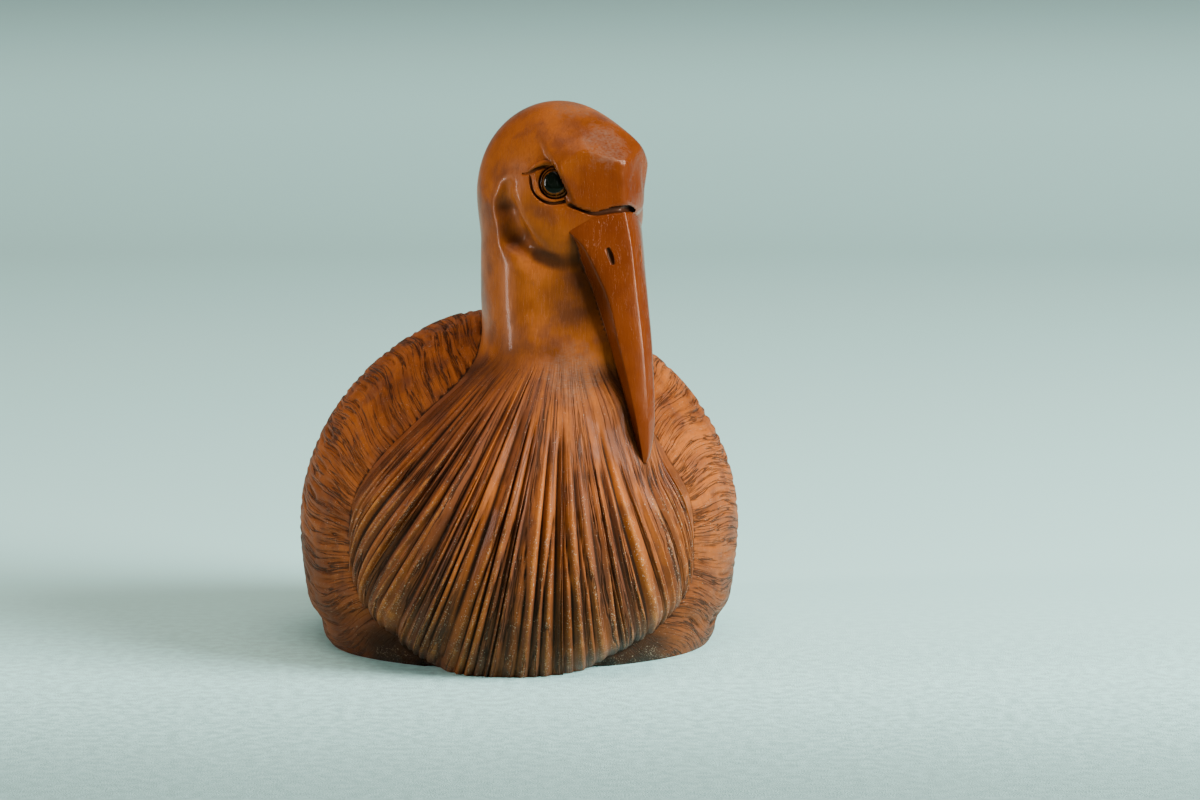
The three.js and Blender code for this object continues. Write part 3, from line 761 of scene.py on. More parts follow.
def leg(side):
    """Shank along the belly and three toes in front of the ankle."""
    ankle = [side * 10, -3, 3.2, 1.3]
    parts = [limb("shank", [side * 11.5, 21, 4, 1.7], ankle)]
    for x, y in TOES:
        parts.append(limb("toe", ankle, [side * x, y, 2.4, 0.9]))
    return parts


hollow = lump("hollow", [0, 3, 0], [25.5, 33, 6.5], squareness=2.8, columns=72, rows=24)
belly = lump("belly", BELLY_MIDDLE, BELLY_HALVES, squareness=2.1, columns=72, rows=36)
tail = lump("tail", [0, 32.5, 8.5], [14, 14, 4.6], squareness=2.5, columns=96, rows=30)
# The tunnel is half a circle in the upright plane, with its ends run on into the open hollow.
ring_turn = np.arange(-6, 55) * math.pi / 48
tunnel_path = TUNNEL_MIDDLE + CORD_HOLE_SPACING / 2 * np.stack(
    [0 * ring_turn, np.cos(ring_turn), np.sin(ring_turn)], -1)
tunnel = tube("tunnel", tunnel_path, CORD_HOLE_DIAMETER / 2, 20)
knot_middle = TUNNEL_MIDDLE + np.array([0, CORD_HOLE_SPACING / 2, 0])
knot_path = knot_middle + np.outer([-1, 0, 1], KNOT_HOLE_DEPTH * UP)
knot_radius = np.array([KNOT_HOLE_DIAMETER, KNOT_HOLE_DIAMETER, CORD_HOLE_DIAMETER]) / 2
knot_hole = tube("knot_hole", knot_path, knot_radius, 24)

# %% [markdown]
# Each eye is a ring of dark horn with a black bead in it, glued into a round socket in a pocket beside the
# brow. Its place is where a ray from the middle of the head leaves the wood.

# %% Places of the eyes
EYE_DIAMETER = 0.00255 / HUNDREDTH
EYE_BULGE = 0.00025 / HUNDREDTH
PUPIL_DIAMETER = 0.002 / HUNDREDTH
PUPIL_BULGE = 0.00045 / HUNDREDTH
INLAY_DEPTH = 0.0012 / HUNDREDTH
INLAY_CLEARANCE = 0.00006 / HUNDREDTH
EYE_SINK = 0.0001 / HUNDREDTH
EYE_AIM = np.array([10.4, 10.2, 2.9])
EYE_STAND = 0.45
EYE_SIDES = {"right": 1, "left": -1}


def eye_frame(side):
    """The eye's middle a little over the pocket, its outward direction, and directions to the bill and up."""
    aim = EYE_AIM * [1, side, 1]
    ray = (from_head(*aim) - HEAD) / np.linalg.norm(aim)
    distance = surface_along(bare_head, HEAD[None], ray[None])[0]
    outward = from_head(*(aim / SKULL ** 2)) - HEAD
    outward = outward / np.linalg.norm(outward)
    to_bill = FORWARD - outward * (FORWARD @ outward)
    to_bill = to_bill / np.linalg.norm(to_bill)
    up = UP - outward * (UP @ outward) - to_bill * (UP @ to_bill)
    return HEAD + ray * distance + outward * EYE_STAND, outward, to_bill, up / np.linalg.norm(up)


def on_head(side, places, steps):
    """Curve over the bare head through places that are measured from the eye, towards the bill and up."""
    knots = [[i, *place] for i, place in enumerate(places)]
    where = np.linspace(0, len(places) - 1, steps)
    middle, outward, to_bill, upward = eye_frame(side)
    flat = middle + np.outer(through(knots, 1)(where), to_bill) + np.outer(through(knots, 2)(where), upward)
    start = flat - outward * 6
    distance = surface_along(bare_head, start, outward + 0 * start)
    return start + outward * distance[:, None]


# %% [markdown]
# The inlays are turned on a small lathe: a ring of brown horn, domed towards its middle, and a black bead
# whose round head stands a little proud. A profile of radius and rise, turned about the eye's outward
# direction, gives both. The socket is wider than the ring and higher than the bead by a gap for glue.

# %% Profiles of the inlays and the socket
MILLIMETRE = 0.001 / HUNDREDTH
IRIS_EDGE = 0.04 * MILLIMETRE
IRIS_BOW = 0.06 * MILLIMETRE
BEAD_POINTS_IN_MOUTH = 4


def turned(name, side, profile, looped, segments=64):
    """Each profile point is a ring: its radius across the eye's outward direction, its rise along it."""
    middle, outward, to_bill, upward = eye_frame(side)
    turn = np.arange(segments)[None, :, None] * math.tau / segments
    radius = np.array([point[0] for point in profile])[:, None, None]
    rise = np.array([point[1] for point in profile])[:, None, None]
    rings = middle + radius * (to_bill * np.cos(turn) + upward * np.sin(turn)) + rise * outward
    flow = np.concatenate([radius, rise], 2) + 0 * turn
    return skin(name, rings, flow, looped=looped)


def arc(start, end, bulge, steps):
    """Points from start to end on a bow that rises by bulge in the middle."""
    share = np.linspace(0, 1, steps)
    radius = start[0] + (end[0] - start[0]) * share
    return list(zip(radius, start[1] + (end[1] - start[1]) * share + bulge * 4 * share * (1 - share)))


def iris_profile():
    """Up the outer wall, over a gentle dome to the bead's hole, and down inside it."""
    inner, outer = PUPIL_DIAMETER / 2 + INLAY_CLEARANCE, EYE_DIAMETER / 2
    rim = EYE_BULGE - EYE_SINK
    dome = arc([outer - IRIS_EDGE, -EYE_SINK + IRIS_EDGE], [inner + IRIS_EDGE, rim], IRIS_BOW, 10)
    wall = [(inner, -INLAY_DEPTH), (outer, -INLAY_DEPTH), (outer, -EYE_SINK)]
    return wall + dome + [(inner, rim - IRIS_EDGE)]


def pupil_profile(gap=0.0):
    """A peg whose head is a quarter of an ellipse, grown by a gap."""
    radius, rim = PUPIL_DIAMETER / 2 + gap, EYE_BULGE - EYE_SINK
    quarter = np.linspace(0, math.pi / 2, 12)[:-1]
    head = [(radius * math.cos(angle), rim + (PUPIL_BULGE + gap) * math.sin(angle)) for angle in quarter]
    return [(radius, -INLAY_DEPTH)] + head


def socket_profile():
    """A round hole, open over the ring, and above it the room that the bead's head needs."""
    gap, outer = INLAY_CLEARANCE, EYE_DIAMETER / 2 + INLAY_CLEARANCE
    rim = EYE_BULGE - EYE_SINK + gap
    mouth = [(outer, rim + 0.2), (PUPIL_DIAMETER / 2 + gap, rim + 0.5)]
    return [(outer, -INLAY_DEPTH - gap)] + mouth + pupil_profile(gap)[BEAD_POINTS_IN_MOUTH:]


# %% [markdown]
# A fold of wood lies over the top of each eye, and a thin lid stands round below it. Fine cut lines set both
# off, and the upper line runs to a point behind the eye. All of them are tubes along curves on the head's
# skin, added or cut. On the bill's side they run in under the brow. A crease undercuts the brow along both
# facets, and a slit on each side of the bill is a nostril.

# %% Lids, lid lines, nostrils and the crease under the brow
UPPER_LID = [[-4.9, 1.5], [-4.2, 2.1], [-3.2, 2.8], [-2.1, 3.2], [-0.9, 3.2], [0.7, 3.0]]
UPPER_LINE = [[-6.2, 0.7], [-4.9, 1.0], [-3.5, 1.9], [-2.3, 2.4], [-1.1, 2.5], [0.5, 2.3]]
LOWER_LID = [[-4.0, 1.1], [-3.7, 0], [-3.0, -1.8], [-1.7, -2.9], [0, -3.2], [2, -2.6]]
LOWER_LINE = [[-4.9, 1.1], [-4.45, 0], [-3.6, -2.0], [-2.0, -3.3], [0, -3.7], [2.4, -3.0]]
LID_STEPS = 48
NOSTRIL_TURN = 45
NOSTRIL_ENDS = [75.4, 72.5]
NOSTRIL_RADIUS = 0.6
CREASE_FRONT = 17.2
CREASE_HALF_WIDTH = 9.2
CREASE_RADIUS = 0.72


def lid(name, side, places, thick, thin, sides):
    """Tube on the head that grows from thin at the rear end to thick within the first third."""
    radius = thin + (thick - thin) * smooth(np.linspace(0, 1, LID_STEPS), 0, 0.35)
    return tube(name, on_head(side, places, LID_STEPS), radius, sides)


def eye_cuts(side):
    """What is cut and what is added beside one eye."""
    upper = lid("upper_lid", side, UPPER_LID, 0.5, 0.15, 10)
    lower = lid("lower_lid", side, LOWER_LID, 0.36, 0.2, 10)
    lines = [lid("lid_line", side, line, 0.34, 0.16, 8) for line in (UPPER_LINE, LOWER_LINE)]
    return [turned("socket", side, socket_profile(), False), *lines], [upper, lower]


def nostril(turn):
    """A slit up the bill at an angle from its ridge, narrower towards its ends."""
    height = np.linspace(*NOSTRIL_ENDS, 9)
    radius = NOSTRIL_RADIUS * np.sin(np.linspace(0.3, math.pi - 0.3, 9)) ** 0.7
    return tube("nostril", bill_surface(height, turn + 0 * height), radius, 12)


def brow_crease():
    """A groove under the brow that follows both facets and their dips."""
    across = np.linspace(-CREASE_HALF_WIDTH, CREASE_HALF_WIDTH, 61)
    away = np.sqrt(across ** 2 + 0.5)
    path = from_head(CREASE_FRONT - 0.56 * away, across, -2.0 + 0.12 * away - brow_dip(away))
    return tube("brow_crease", path, CREASE_RADIUS - 0.03 * away, 12)


# %% [markdown]
# The skins so far overlap, as roughed-out lumps would. Boolean modifiers with the manifold solver join them
# into one closed solid and cut the hollow, the tunnel, the sockets and the flat standing faces. It is exact
# and quick on large closed meshes, where voxel remeshing would round off every cut.

# %% Join and cut
def work(target, operation, tools):
    """Join or cut the tools, one Boolean modifier each, then keep the result as the mesh."""
    for tool in tools:
        step = target.modifiers.new(tool.name, "BOOLEAN")
        step.operation = operation
        step.solver = "MANIFOLD"
        step.object = tool
    depsgraph = bpy.context.evaluated_depsgraph_get()
    result = bpy.data.meshes.new_from_object(target.evaluated_get(depsgraph))
    target.modifiers.clear()
    target.data = result
    for tool in tools:
        bpy.data.objects.remove(tool)


bpy.context.view_layer.update()
work(body, "UNION", [tail])
work(body, "DIFFERENCE", [hollow])
work(body, "UNION", [belly] + leg(1) + leg(-1))
work(ibis, "UNION", [body, bill])
cuts, folds = [], []
for side in EYE_SIDES.values():
    side_cuts, side_folds = eye_cuts(side)
    cuts += side_cuts
    folds += side_folds
cuts += [nostril(turn) for turn in np.radians([NOSTRIL_TURN, -NOSTRIL_TURN])]
cuts.append(brow_crease())
square = np.array([[-1, -1, 0], [1, -1, 0], [1, 1, 0], [-1, 1, 0]]) * 80.0
floor_cut = skin("floor_cut", np.stack([square - 40 * UP, square]))
work(ibis, "UNION", folds)
work(ibis, "DIFFERENCE", [*cuts, tunnel, knot_hole, floor_cut])
print("triangles in the carving:", sum(len(face.vertices) - 2 for face in ibis.data.polygons))
print("carving box, mm:", [round(1000 * size, 2) for size in ibis.dimensions])

# %% [markdown]
# The inlays are pressed into the cut sockets.

# %% Set the eyes
inlays = {}
for side_name, side in EYE_SIDES.items():
    inlays[f"{side_name}_eye_iris"] = turned(f"{side_name}_iris", side, iris_profile(), True)
    inlays[f"{side_name}_eye_pupil"] = turned(f"{side_name}_pupil", side, pupil_profile(), False)

# %% [markdown]
# Stain stays dark in the cuts, and hands rub the ridges bright. To know which is which, each point of the
# carving is compared with the mean of its neighbourhood: below it is a cut, above it a ridge. The mean
# comes from smoothing the whole mesh along its edges, a few steps for fine cuts and many for wide hollows.
# Only the wood needs the wide ones, which darken its hollows as painted shade.
# Ambient occlusion in the shader would be slower and would be lost in the export.

# %% Measure cuts and ridges
def spread_out(values, ends, others, degree, steps):
    """Mean of the neighbours, taken again and again: one bincount for each column of values."""
    for _ in range(steps):
        columns = [np.bincount(ends, values[others, i], len(values)) for i in range(values.shape[1])]
        values = 0.5 * values + 0.5 * np.stack(columns, -1) / degree[:, None]
    return values


def measure_relief(piece, name, steps, full):
    """Height over the smoothed surface along the normal, as a share of a full height."""
    mesh = piece.data
    count = len(mesh.vertices)
    points = np.empty(count * 3)
    mesh.vertices.foreach_get("co", points)
    normals = np.empty(count * 3)
    mesh.vertex_normals.foreach_get("vector", normals)
    edges = np.empty(len(mesh.edges) * 2, int)
    mesh.edges.foreach_get("vertices", edges)
    edges = edges.reshape(-1, 2)
    ends = np.concatenate([edges[:, 0], edges[:, 1]])
    others = np.concatenate([edges[:, 1], edges[:, 0]])
    degree = np.maximum(np.bincount(ends, minlength=count), 1)
    points, normals = points.reshape(-1, 3), normals.reshape(-1, 3)
    mean = spread_out(points, ends, others, degree, steps)
    height = ((points - mean) * normals).sum(1) / (full * HUNDREDTH)
    height = spread_out(height[:, None], ends, others, degree, 1)[:, 0]
    mesh.attributes.new(name, "FLOAT", "POINT").data.foreach_set("value", height)
    print(name, "from", np.percentile(height, 2).round(2), "to", np.percentile(height, 98).round(2))


# The wide measure, named hollow, darkens the wood's hollows as painted shade.
measure_relief(ibis, "hollow", steps=120, full=1.2)
for piece in [ibis, *inlays.values()]:
    measure_relief(piece, "relief", steps=14, full=0.35)

# %% [markdown]
# Shader nodes are wired by short helpers, so that a material reads as a list of what is laid over what. An
# input takes either a number, a colour or the output of another node.

# %% Helpers for shader nodes
def add(tree, kind, inputs=None, **settings):
    """A node with its settings and its inputs filled by values or linked to other outputs."""
    node = tree.nodes.new("ShaderNode" + kind)
    for setting, value in settings.items():
        setattr(node, setting, value)
    for key, value in (inputs or {}).items():
        if isinstance(value, bpy.types.NodeSocket):
            tree.links.new(value, node.inputs[key])
        else:
            node.inputs[key].default_value = value
    return node


def calculate(tree, operation, total, *others):
    """Math nodes that take up the other values one after another."""
    for other in others or (0.0,):
        total = add(tree, "Math", {0: total, 1: other}, operation=operation).outputs[0]
    return total


def times(tree, *values):
    """Product of values."""
    return calculate(tree, "MULTIPLY", *values)


def plus(tree, *values):
    """Sum of values."""
    return calculate(tree, "ADD", *values)


def most(tree, *values):
    """The largest of values."""
    return calculate(tree, "MAXIMUM", *values)


def between(tree, value, start, end, low=0.0, high=1.0):
    """Map Range: low at start, high at end, held outside, with a soft step."""
    inputs = {"Value": value, "From Min": start, "From Max": end, "To Min": low, "To Max": high}
    return add(tree, "MapRange", inputs, interpolation_type="SMOOTHSTEP").outputs[0]


def mixed_colour(tree, share, first, second):
    """Mix node for colours: share 0 gives the first, share 1 the second."""
    node = add(tree, "Mix", data_type="RGBA")
    for index, value in [(0, share), (6, first), (7, second)]:
        if isinstance(value, bpy.types.NodeSocket):
            tree.links.new(value, node.inputs[index])
        else:
            node.inputs[index].default_value = value if index == 0 else (*value, 1)
    return node.outputs[2]


def layered(tree, colour, *layers):
    """Colours laid over each other, each with the share that it covers."""
    for share, layer in layers:
        colour = mixed_colour(tree, share, colour, layer)
    return colour


def measured(tree, name):
    """A number that the mesh carries."""
    return add(tree, "Attribute", attribute_name=name).outputs["Fac"]


def noise(tree, coordinates, scale, detail=2.0, stretch=(1, 1, 1)):
    """Noise with features of 1 over scale in metres, drawn out by a stretch."""
    placed = add(tree, "Mapping", {"Vector": coordinates, "Scale": stretch})
    return add(tree, "TexNoise", {"Vector": placed.outputs[0], "Scale": scale, "Detail": detail}).outputs[0]


def near_middle(tree, value, width):
    """1 where a value passes through its middle of one half, falling to 0 at a width on either side."""
    away = calculate(tree, "ABSOLUTE", calculate(tree, "SUBTRACT", value, 0.5))
    return between(tree, away, width, 0.0)


def new_group(name, inputs, outputs):
    """A node group with named number inputs and outputs."""
    group = bpy.data.node_groups.new(name, "ShaderNodeTree")
    for socket, default in inputs.items():
        made = group.interface.new_socket(socket, in_out="INPUT", socket_type="NodeSocketFloat")
        made.default_value = default
    for socket in outputs:
        group.interface.new_socket(socket, in_out="OUTPUT", socket_type="NodeSocketFloat")
    return group, group.nodes.new("NodeGroupInput").outputs, group.nodes.new("NodeGroupOutput").inputs


def place_group(tree, group, inputs=None):
    """The group as a node in a material, with its inputs filled."""
    node = add(tree, "Group", node_tree=group)
    for key, value in (inputs or {}).items():
        node.inputs[key].default_value = value
    return node.outputs


# %% [markdown]
# Handling leaves smudges and hair-fine scratches in the polish, and tiny pale specks on rough ridges are
# dust that sticks there and painted glints. Both are shared by the wood and the horn. The knife's finest cuts
# and the scuffed patches are the wood's own. Each effect is a node group that gives masks, so a material sets
# its own strength.

# %% Effects that materials share
def handling_group():
    """Smudges from broad noise, scratches where thin stretched noise passes through its middle."""
    inputs = {"Smudge size": 450.0, "Scratch size": 5200.0}
    group, given, out = new_group("handling", inputs, ["Smudge", "Scratch"])
    place = add(group, "TexCoord").outputs["Object"]
    smudge = noise(group, place, given["Smudge size"], 4.0)
    group.links.new(between(group, smudge, 0.38, 0.66), out["Smudge"])
    slant = noise(group, place, given["Scratch size"], 2.0, (1.0, 0.12, 0.09))
    group.links.new(near_middle(group, slant, 0.012), out["Scratch"])
    return group


def dust_and_glint_group():
    """Pale specks, partly dust and partly painted glints, where fine noise peaks, more of them on high
    places.
    """
    group, given, out = new_group("dust_and_glint", {"Speck size": 9000.0, "Amount": 0.5}, ["Speck"])
    place = add(group, "TexCoord").outputs["Object"]
    speck = noise(group, place, given["Speck size"], 1.0)
    patch = noise(group, place, 900.0, 3.0)
    rough = between(group, measured(group, "relief"), 0.05, 0.6)
    least = calculate(group, "SUBTRACT", 0.86, times(group, given["Amount"], rough))
    level = plus(group, speck, times(group, patch, 0.25))
    group.links.new(between(group, calculate(group, "SUBTRACT", level, least), 0.0, 0.05), out["Speck"])
    return group


def fine_cuts_group():
    """Broken hair lines along the flow of the carving, and a broader change of tone from ridge to ridge."""
    inputs = {"Across": 2.4, "Along": 0.55, "Width": 0.05}
    group, given, out = new_group("fine_cuts", inputs, ["Line", "Tone"])
    flow = add(group, "UVMap", uv_map="flow").outputs[0]
    size = add(group, "CombineXYZ", {"X": given["Across"], "Y": given["Along"]}).outputs[0]
    placed = add(group, "VectorMath", {0: flow, 1: size}, operation="MULTIPLY").outputs[0]
    fine = add(group, "TexNoise", {"Vector": placed, "Scale": 1.0, "Detail": 3.0}).outputs[0]
    broad = add(group, "TexNoise", {"Vector": placed, "Scale": 0.37, "Detail": 2.0}).outputs[0]
    held = between(group, broad, 0.36, 0.56)
    group.links.new(times(group, near_middle(group, fine, given["Width"]), held), out["Line"])
    group.links.new(between(group, broad, 0.3, 0.7), out["Tone"])
    return group


def scuff_group():
    """A patch round a place in metres, worn in fine streaks."""
    inputs = {"X": 0.0, "Y": 0.0, "Z": 0.0, "Radius": 0.002}
    group, given, out = new_group("scuff", inputs, ["Mask"])
    place = add(group, "TexCoord").outputs["Object"]
    middle = add(group, "CombineXYZ", {name: given[name] for name in "XYZ"}).outputs[0]
    away = add(group, "VectorMath", {0: place, 1: middle}, operation="DISTANCE").outputs["Value"]
    share = calculate(group, "DIVIDE", away, given["Radius"])
    ragged = plus(group, share, noise(group, place, 1500.0, 3.0))
    streaks = between(group, noise(group, place, 9000.0, 4.0, (0.4, 0.4, 1.0)), 0.2, 0.75)
    group.links.new(times(group, between(group, ragged, 1.35, 0.9), streaks), out["Mask"])
    return group


handling = handling_group()
dust_and_glint = dust_and_glint_group()
fine_cuts = fine_cuts_group()
scuff = scuff_group()

# %% [markdown]
# Boxwood is dense, with a grain so fine that it hardly shows. This piece was stained to a warm orange brown
# and polished, with plum clouds in the stain and a redder, darker brow and bill. The stain pooled nearly
# black in the cuts, and the ridges of the breast were rubbed to tan. Shade is painted nearly black into the
# wide hollows, the gaps between the breast and the wings, and the throat under the bill.

# %% Boxwood
BROWN = (0.29, 0.074, 0.011)
DEEP_BROWN = (0.14, 0.032, 0.004)
RED_BROWN = (0.075, 0.011, 0.0006)
PLUM = (0.075, 0.026, 0.016)
TAN = (0.42, 0.14, 0.024)
# Near black, for stain pooled in the cuts and for painted shade.
STAIN_AND_SHADE = (0.010, 0.005, 0.003)
DUST_AND_GLINT_COLOUR = (0.40, 0.30, 0.21)
SCUFFED = (0.13, 0.08, 0.055)
SCUFFS = [
    # X, Y, Z and radius, in hundredths: crown, forehead, foot of the neck
    [9.9, -21, 98.5, 6],
    [15.5, -28, 92.6, 6.5],
    [10, -33, 53.2, 7.5],
]
PAINTED_SHADE_SPOTS = [
    # X, Y, Z and radius, in hundredths, and strength of the painted shade: gaps between the breast and the
    # wings, the throat
    [-21.6, -26, 1.0, 8, 0.9],
    [20.6, -26, 1.0, 8, 0.9],
    [10.5, -31, 66, 6, 0.5],
]
BROW = [18, -27, 85, 12]
CARVED_TOP = FLUTE_TOP * HUNDREDTH
FOOT = [0.016, 0.002]


def new_material(name):
    """A material with its node tree, Principled shader and Object coordinates."""
    material = bpy.data.materials.new(name)
    material.use_nodes = True
    tree = material.node_tree
    return material, tree, tree.nodes["Principled BSDF"], add(tree, "TexCoord").outputs["Object"]


def connect(tree, shader, **sources):
    """Fill the shader's inputs, with underscores for spaces."""
    for name, value in sources.items():
        socket = shader.inputs[name.replace("_", " ")]
        if isinstance(value, bpy.types.NodeSocket):
            tree.links.new(value, socket)
        else:
            socket.default_value = value


def bumped(tree, height, distance, strength=1.0):
    """Normal from a height, by a Bump node."""
    return add(tree, "Bump", {"Height": height, "Distance": distance, "Strength": strength}).outputs[0]


def ball(tree, place, spot):
    """1 at a place given with its radius in hundredths, falling softly to 0 at one and a half radii."""
    middle = [size * HUNDREDTH for size in spot[:3]]
    away = add(tree, "VectorMath", {0: place, 1: middle}, operation="DISTANCE").outputs["Value"]
    return between(tree, away, 1.5 * spot[3] * HUNDREDTH, 0.5 * spot[3] * HUNDREDTH)


def carved_mask(tree, zone, height):
    """1 on the feathered body and low on the breast, 0 on the smooth head, neck and bill."""
    on_body = times(tree, between(tree, zone, 0.4, 0.6), between(tree, zone, 1.6, 1.4))
    low = between(tree, height, CARVED_TOP, 0.9 * CARVED_TOP)
    return most(tree, on_body, times(tree, between(tree, zone, 0.6, 0.4), low))


def boxwood_material():
    """Stained wood: mottle and grain, then worn ridges, the red face, a darker bottom, dark cuts and painted
    shade, scuffs, and dust with painted glints.
    """
    material, tree, shader, place = new_material("boxwood_stained")
    relief, hollow, zone = [measured(tree, name) for name in ("relief", "hollow", "zone")]
    height = add(tree, "SeparateXYZ", {0: place}).outputs["Z"]
    carved = carved_mask(tree, zone, height)
    cuts = place_group(tree, fine_cuts)
    line = times(tree, cuts["Line"], carved)
    mottle = noise(tree, place, 230.0, 4.0)
    clouds = noise(tree, place, 480.0, 5.0)
    blotch = noise(tree, place, 1300.0, 4.0)
    grain = noise(tree, place, 6500.0, 3.0, (1.0, 1.0, 0.06))
    # Tone and wear are weaker on the body and the bill than on the front.
    toned = times(tree, cuts["Tone"], carved, between(tree, zone, 0.4, 0.6, 0.75, 0.3))
    worn = times(tree, between(tree, relief, 0.35, 1.1), between(tree, blotch, 0.4, 0.65, 0.2, 0.8),
                 between(tree, zone, 0.4, 0.6, 1.0, 0.15), between(tree, carved, 0.0, 1.0, 0.25, 1.0))
    face = most(tree, between(tree, zone, 1.4, 1.6), ball(tree, place, BROW))
    # Darker towards the bottom of the carved parts.
    darker_low = times(tree, between(tree, height, *FOOT), carved, 0.5)
    sunk = times(tree, between(tree, relief, 0.02, -0.6), between(tree, carved, 0.0, 1.0, 0.85, 1.0))
    # Painted shade: dark spots in the gaps between the breast and the wings and in the throat under the bill.
    painted_shades = [times(tree, ball(tree, place, spot), spot[4]) for spot in PAINTED_SHADE_SPOTS]
    # Stain pooled in the cuts and the fine lines, and painted shade in the wide hollows and the shade spots.
    pooled_stain_and_shade = most(tree, sunk, between(tree, hollow, -0.3, -2.0, 0.0, 0.5), times(tree, line, 0.85), *painted_shades)
    rubbed = 0.0
    for spot in SCUFFS:
        values = dict(zip(["X", "Y", "Z", "Radius"], [size * HUNDREDTH for size in spot]))
        rubbed = most(tree, place_group(tree, scuff, values)["Mask"], rubbed)
    touched = place_group(tree, handling)
    dust_and_glint_specks = place_group(tree, dust_and_glint, {"Amount": 0.1})
    colour = layered(
        tree, mixed_colour(tree, between(tree, mottle, 0.24, 0.6), DEEP_BROWN, BROWN),
        (between(tree, grain, 0.35, 0.75, 0.0, 0.3), DEEP_BROWN),
        (between(tree, clouds, 0.45, 0.7, 0.0, 0.55), PLUM),
        (toned, PLUM),
        (worn, TAN),
        (times(tree, face, 0.86), RED_BROWN),
        (darker_low, STAIN_AND_SHADE),
        (times(tree, pooled_stain_and_shade, 0.96), STAIN_AND_SHADE),
        (times(tree, rubbed, 0.45), SCUFFED),
        # Pale specks: dust and painted glints on the ridges.
        (times(tree, dust_and_glint_specks["Speck"], carved, 0.5), DUST_AND_GLINT_COLOUR),
    )
    rough = plus(tree, between(tree, relief, -0.6, 0.2, 0.6, 0.3), times(tree, touched["Smudge"], 0.08),
                 times(tree, most(tree, rubbed, carved), 0.22), times(tree, face, -0.15))
    rise = plus(tree, times(tree, grain, 0.3), times(tree, blotch, 0.8),
                times(tree, touched["Scratch"], -0.25), times(tree, line, -3.0))
    connect(tree, shader, Base_Color=colour, Roughness=rough, Normal=bumped(tree, rise, 0.00003),
            Coat_Weight=between(tree, carved, 0.0, 1.0, 0.06, 0.025), Coat_Roughness=0.1,
            Specular_IOR_Level=0.17, Specular_Tint=(1.0, 0.5, 0.28, 1.0))
    return material


# %% [markdown]
# The ring of each eye is brown horn with darker streaks. The bead is black horn with a mirror polish, so it
# carries small bright points from the lights. Its thin edge lets the brown show.

# %% Horn
AMBER = (0.14, 0.040, 0.004)
DARK_AMBER = (0.04, 0.012, 0.002)
BLACK = (0.002, 0.004, 0.002)
BLACK_RADIUS = 1.98
BLACK_EDGE = 0.15


def horn_material(name, roughness, coat, shine):
    """Polished horn: black in the middle and streaked brown round it, with smudges in the polish."""
    material, tree, shader, place = new_material(name)
    streaks = noise(tree, place, 5200.0, 3.0, (1.0, 1.0, 0.3))
    touched = place_group(tree, handling, {"Smudge size": 1500.0, "Scratch size": 9000.0})
    dust_and_glint_specks = place_group(tree, dust_and_glint, {"Amount": 0.04})
    flow = add(tree, "UVMap", uv_map="flow").outputs[0]
    radius = add(tree, "SeparateXYZ", {0: flow}).outputs["X"]
    amber = mixed_colour(tree, between(tree, streaks, 0.35, 0.65), AMBER, DARK_AMBER)
    middle = between(tree, radius, BLACK_RADIUS, BLACK_RADIUS - BLACK_EDGE)
    # Pale specks over the horn: dust and painted glints.
    tone = layered(tree, amber, (middle, BLACK), (times(tree, dust_and_glint_specks["Speck"], 0.2), DUST_AND_GLINT_COLOUR))
    rough = plus(tree, times(tree, touched["Smudge"], 0.06), roughness)
    normal = bumped(tree, times(tree, touched["Scratch"], -1.0), 0.000004)
    connect(tree, shader, Base_Color=tone, Roughness=rough, Normal=normal, Coat_Weight=coat,
            Coat_Roughness=0.06, Specular_IOR_Level=shine)
    return material


finishes = {
    "ibis": ("boxwood", boxwood_material()),
    "iris": ("dark_horn", horn_material("horn_brown", 0.25, 0.1, 0.2)),
    "pupil": ("black_horn", horn_material("horn_black", 0.05, 0.0, 0.12)),
}


def finish(piece, node, kind):
    """Give a piece its material and smooth shading, and let it stand for its node."""
    slot, material = finishes[kind]
    mesh, count = piece.data, len(piece.data.polygons)
    mesh.materials.clear()
    mesh.materials.append(material)
    mesh.polygons.foreach_set("material_index", np.zeros(count, int))
    mesh.polygons.foreach_set("use_smooth", np.ones(count, bool))
    mesh.update()
    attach(piece, "root")
    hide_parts(node)


finish(ibis, "ibis", "ibis")
for node, inlay in inlays.items():
    finish(inlay, node, node.split("_")[-1])

# %% [markdown]
# The carving stands on a pale grey-green cloth that runs back and up into a plain backdrop. It isn't part of
# the object, so it is only staged. The light comes from a large panel at the bird's left, a narrow window
# far round on its right and a wide panel above. The room in front is dark, so the polish shows deep colour.

# %% Stage, lights and camera
CLOTH_DARK = (0.37, 0.65, 0.61)
CLOTH_PALE = (0.57, 0.96, 0.90)
# Painted shade: the cloth darkens up the bend to the backdrop.
PAINTED_SHADE_UP_THE_BEND = (0.08, 0.11, 0.11)
# Painted shade: the cloth darkens towards the front.
PAINTED_SHADE_IN_FRONT = (0.15, 0.24, 0.22)
LIGHT_AIM = (0.0, -0.005, 0.022)
PANELS = [
    # name, direction, distance, width and height in metres, watts, colour
    ["key_panel", (1.0, -0.45, 0.39), 0.45, (0.24, 0.26), 8.2, (0.93, 1.0, 1.0)],
    ["window_panel", (-0.97, -0.24, 0.12), 0.5, (0.06, 0.26), 2.6, (1.0, 0.97, 0.95)],
    ["top_panel", (0.1, -0.25, 1.0), 0.6, (0.5, 0.5), 2.8, (1.0, 0.84, 0.74)],
]
ROOM_COLOUR = (0.95, 0.88, 0.82, 1)
ROOM_STRENGTH = 0.07


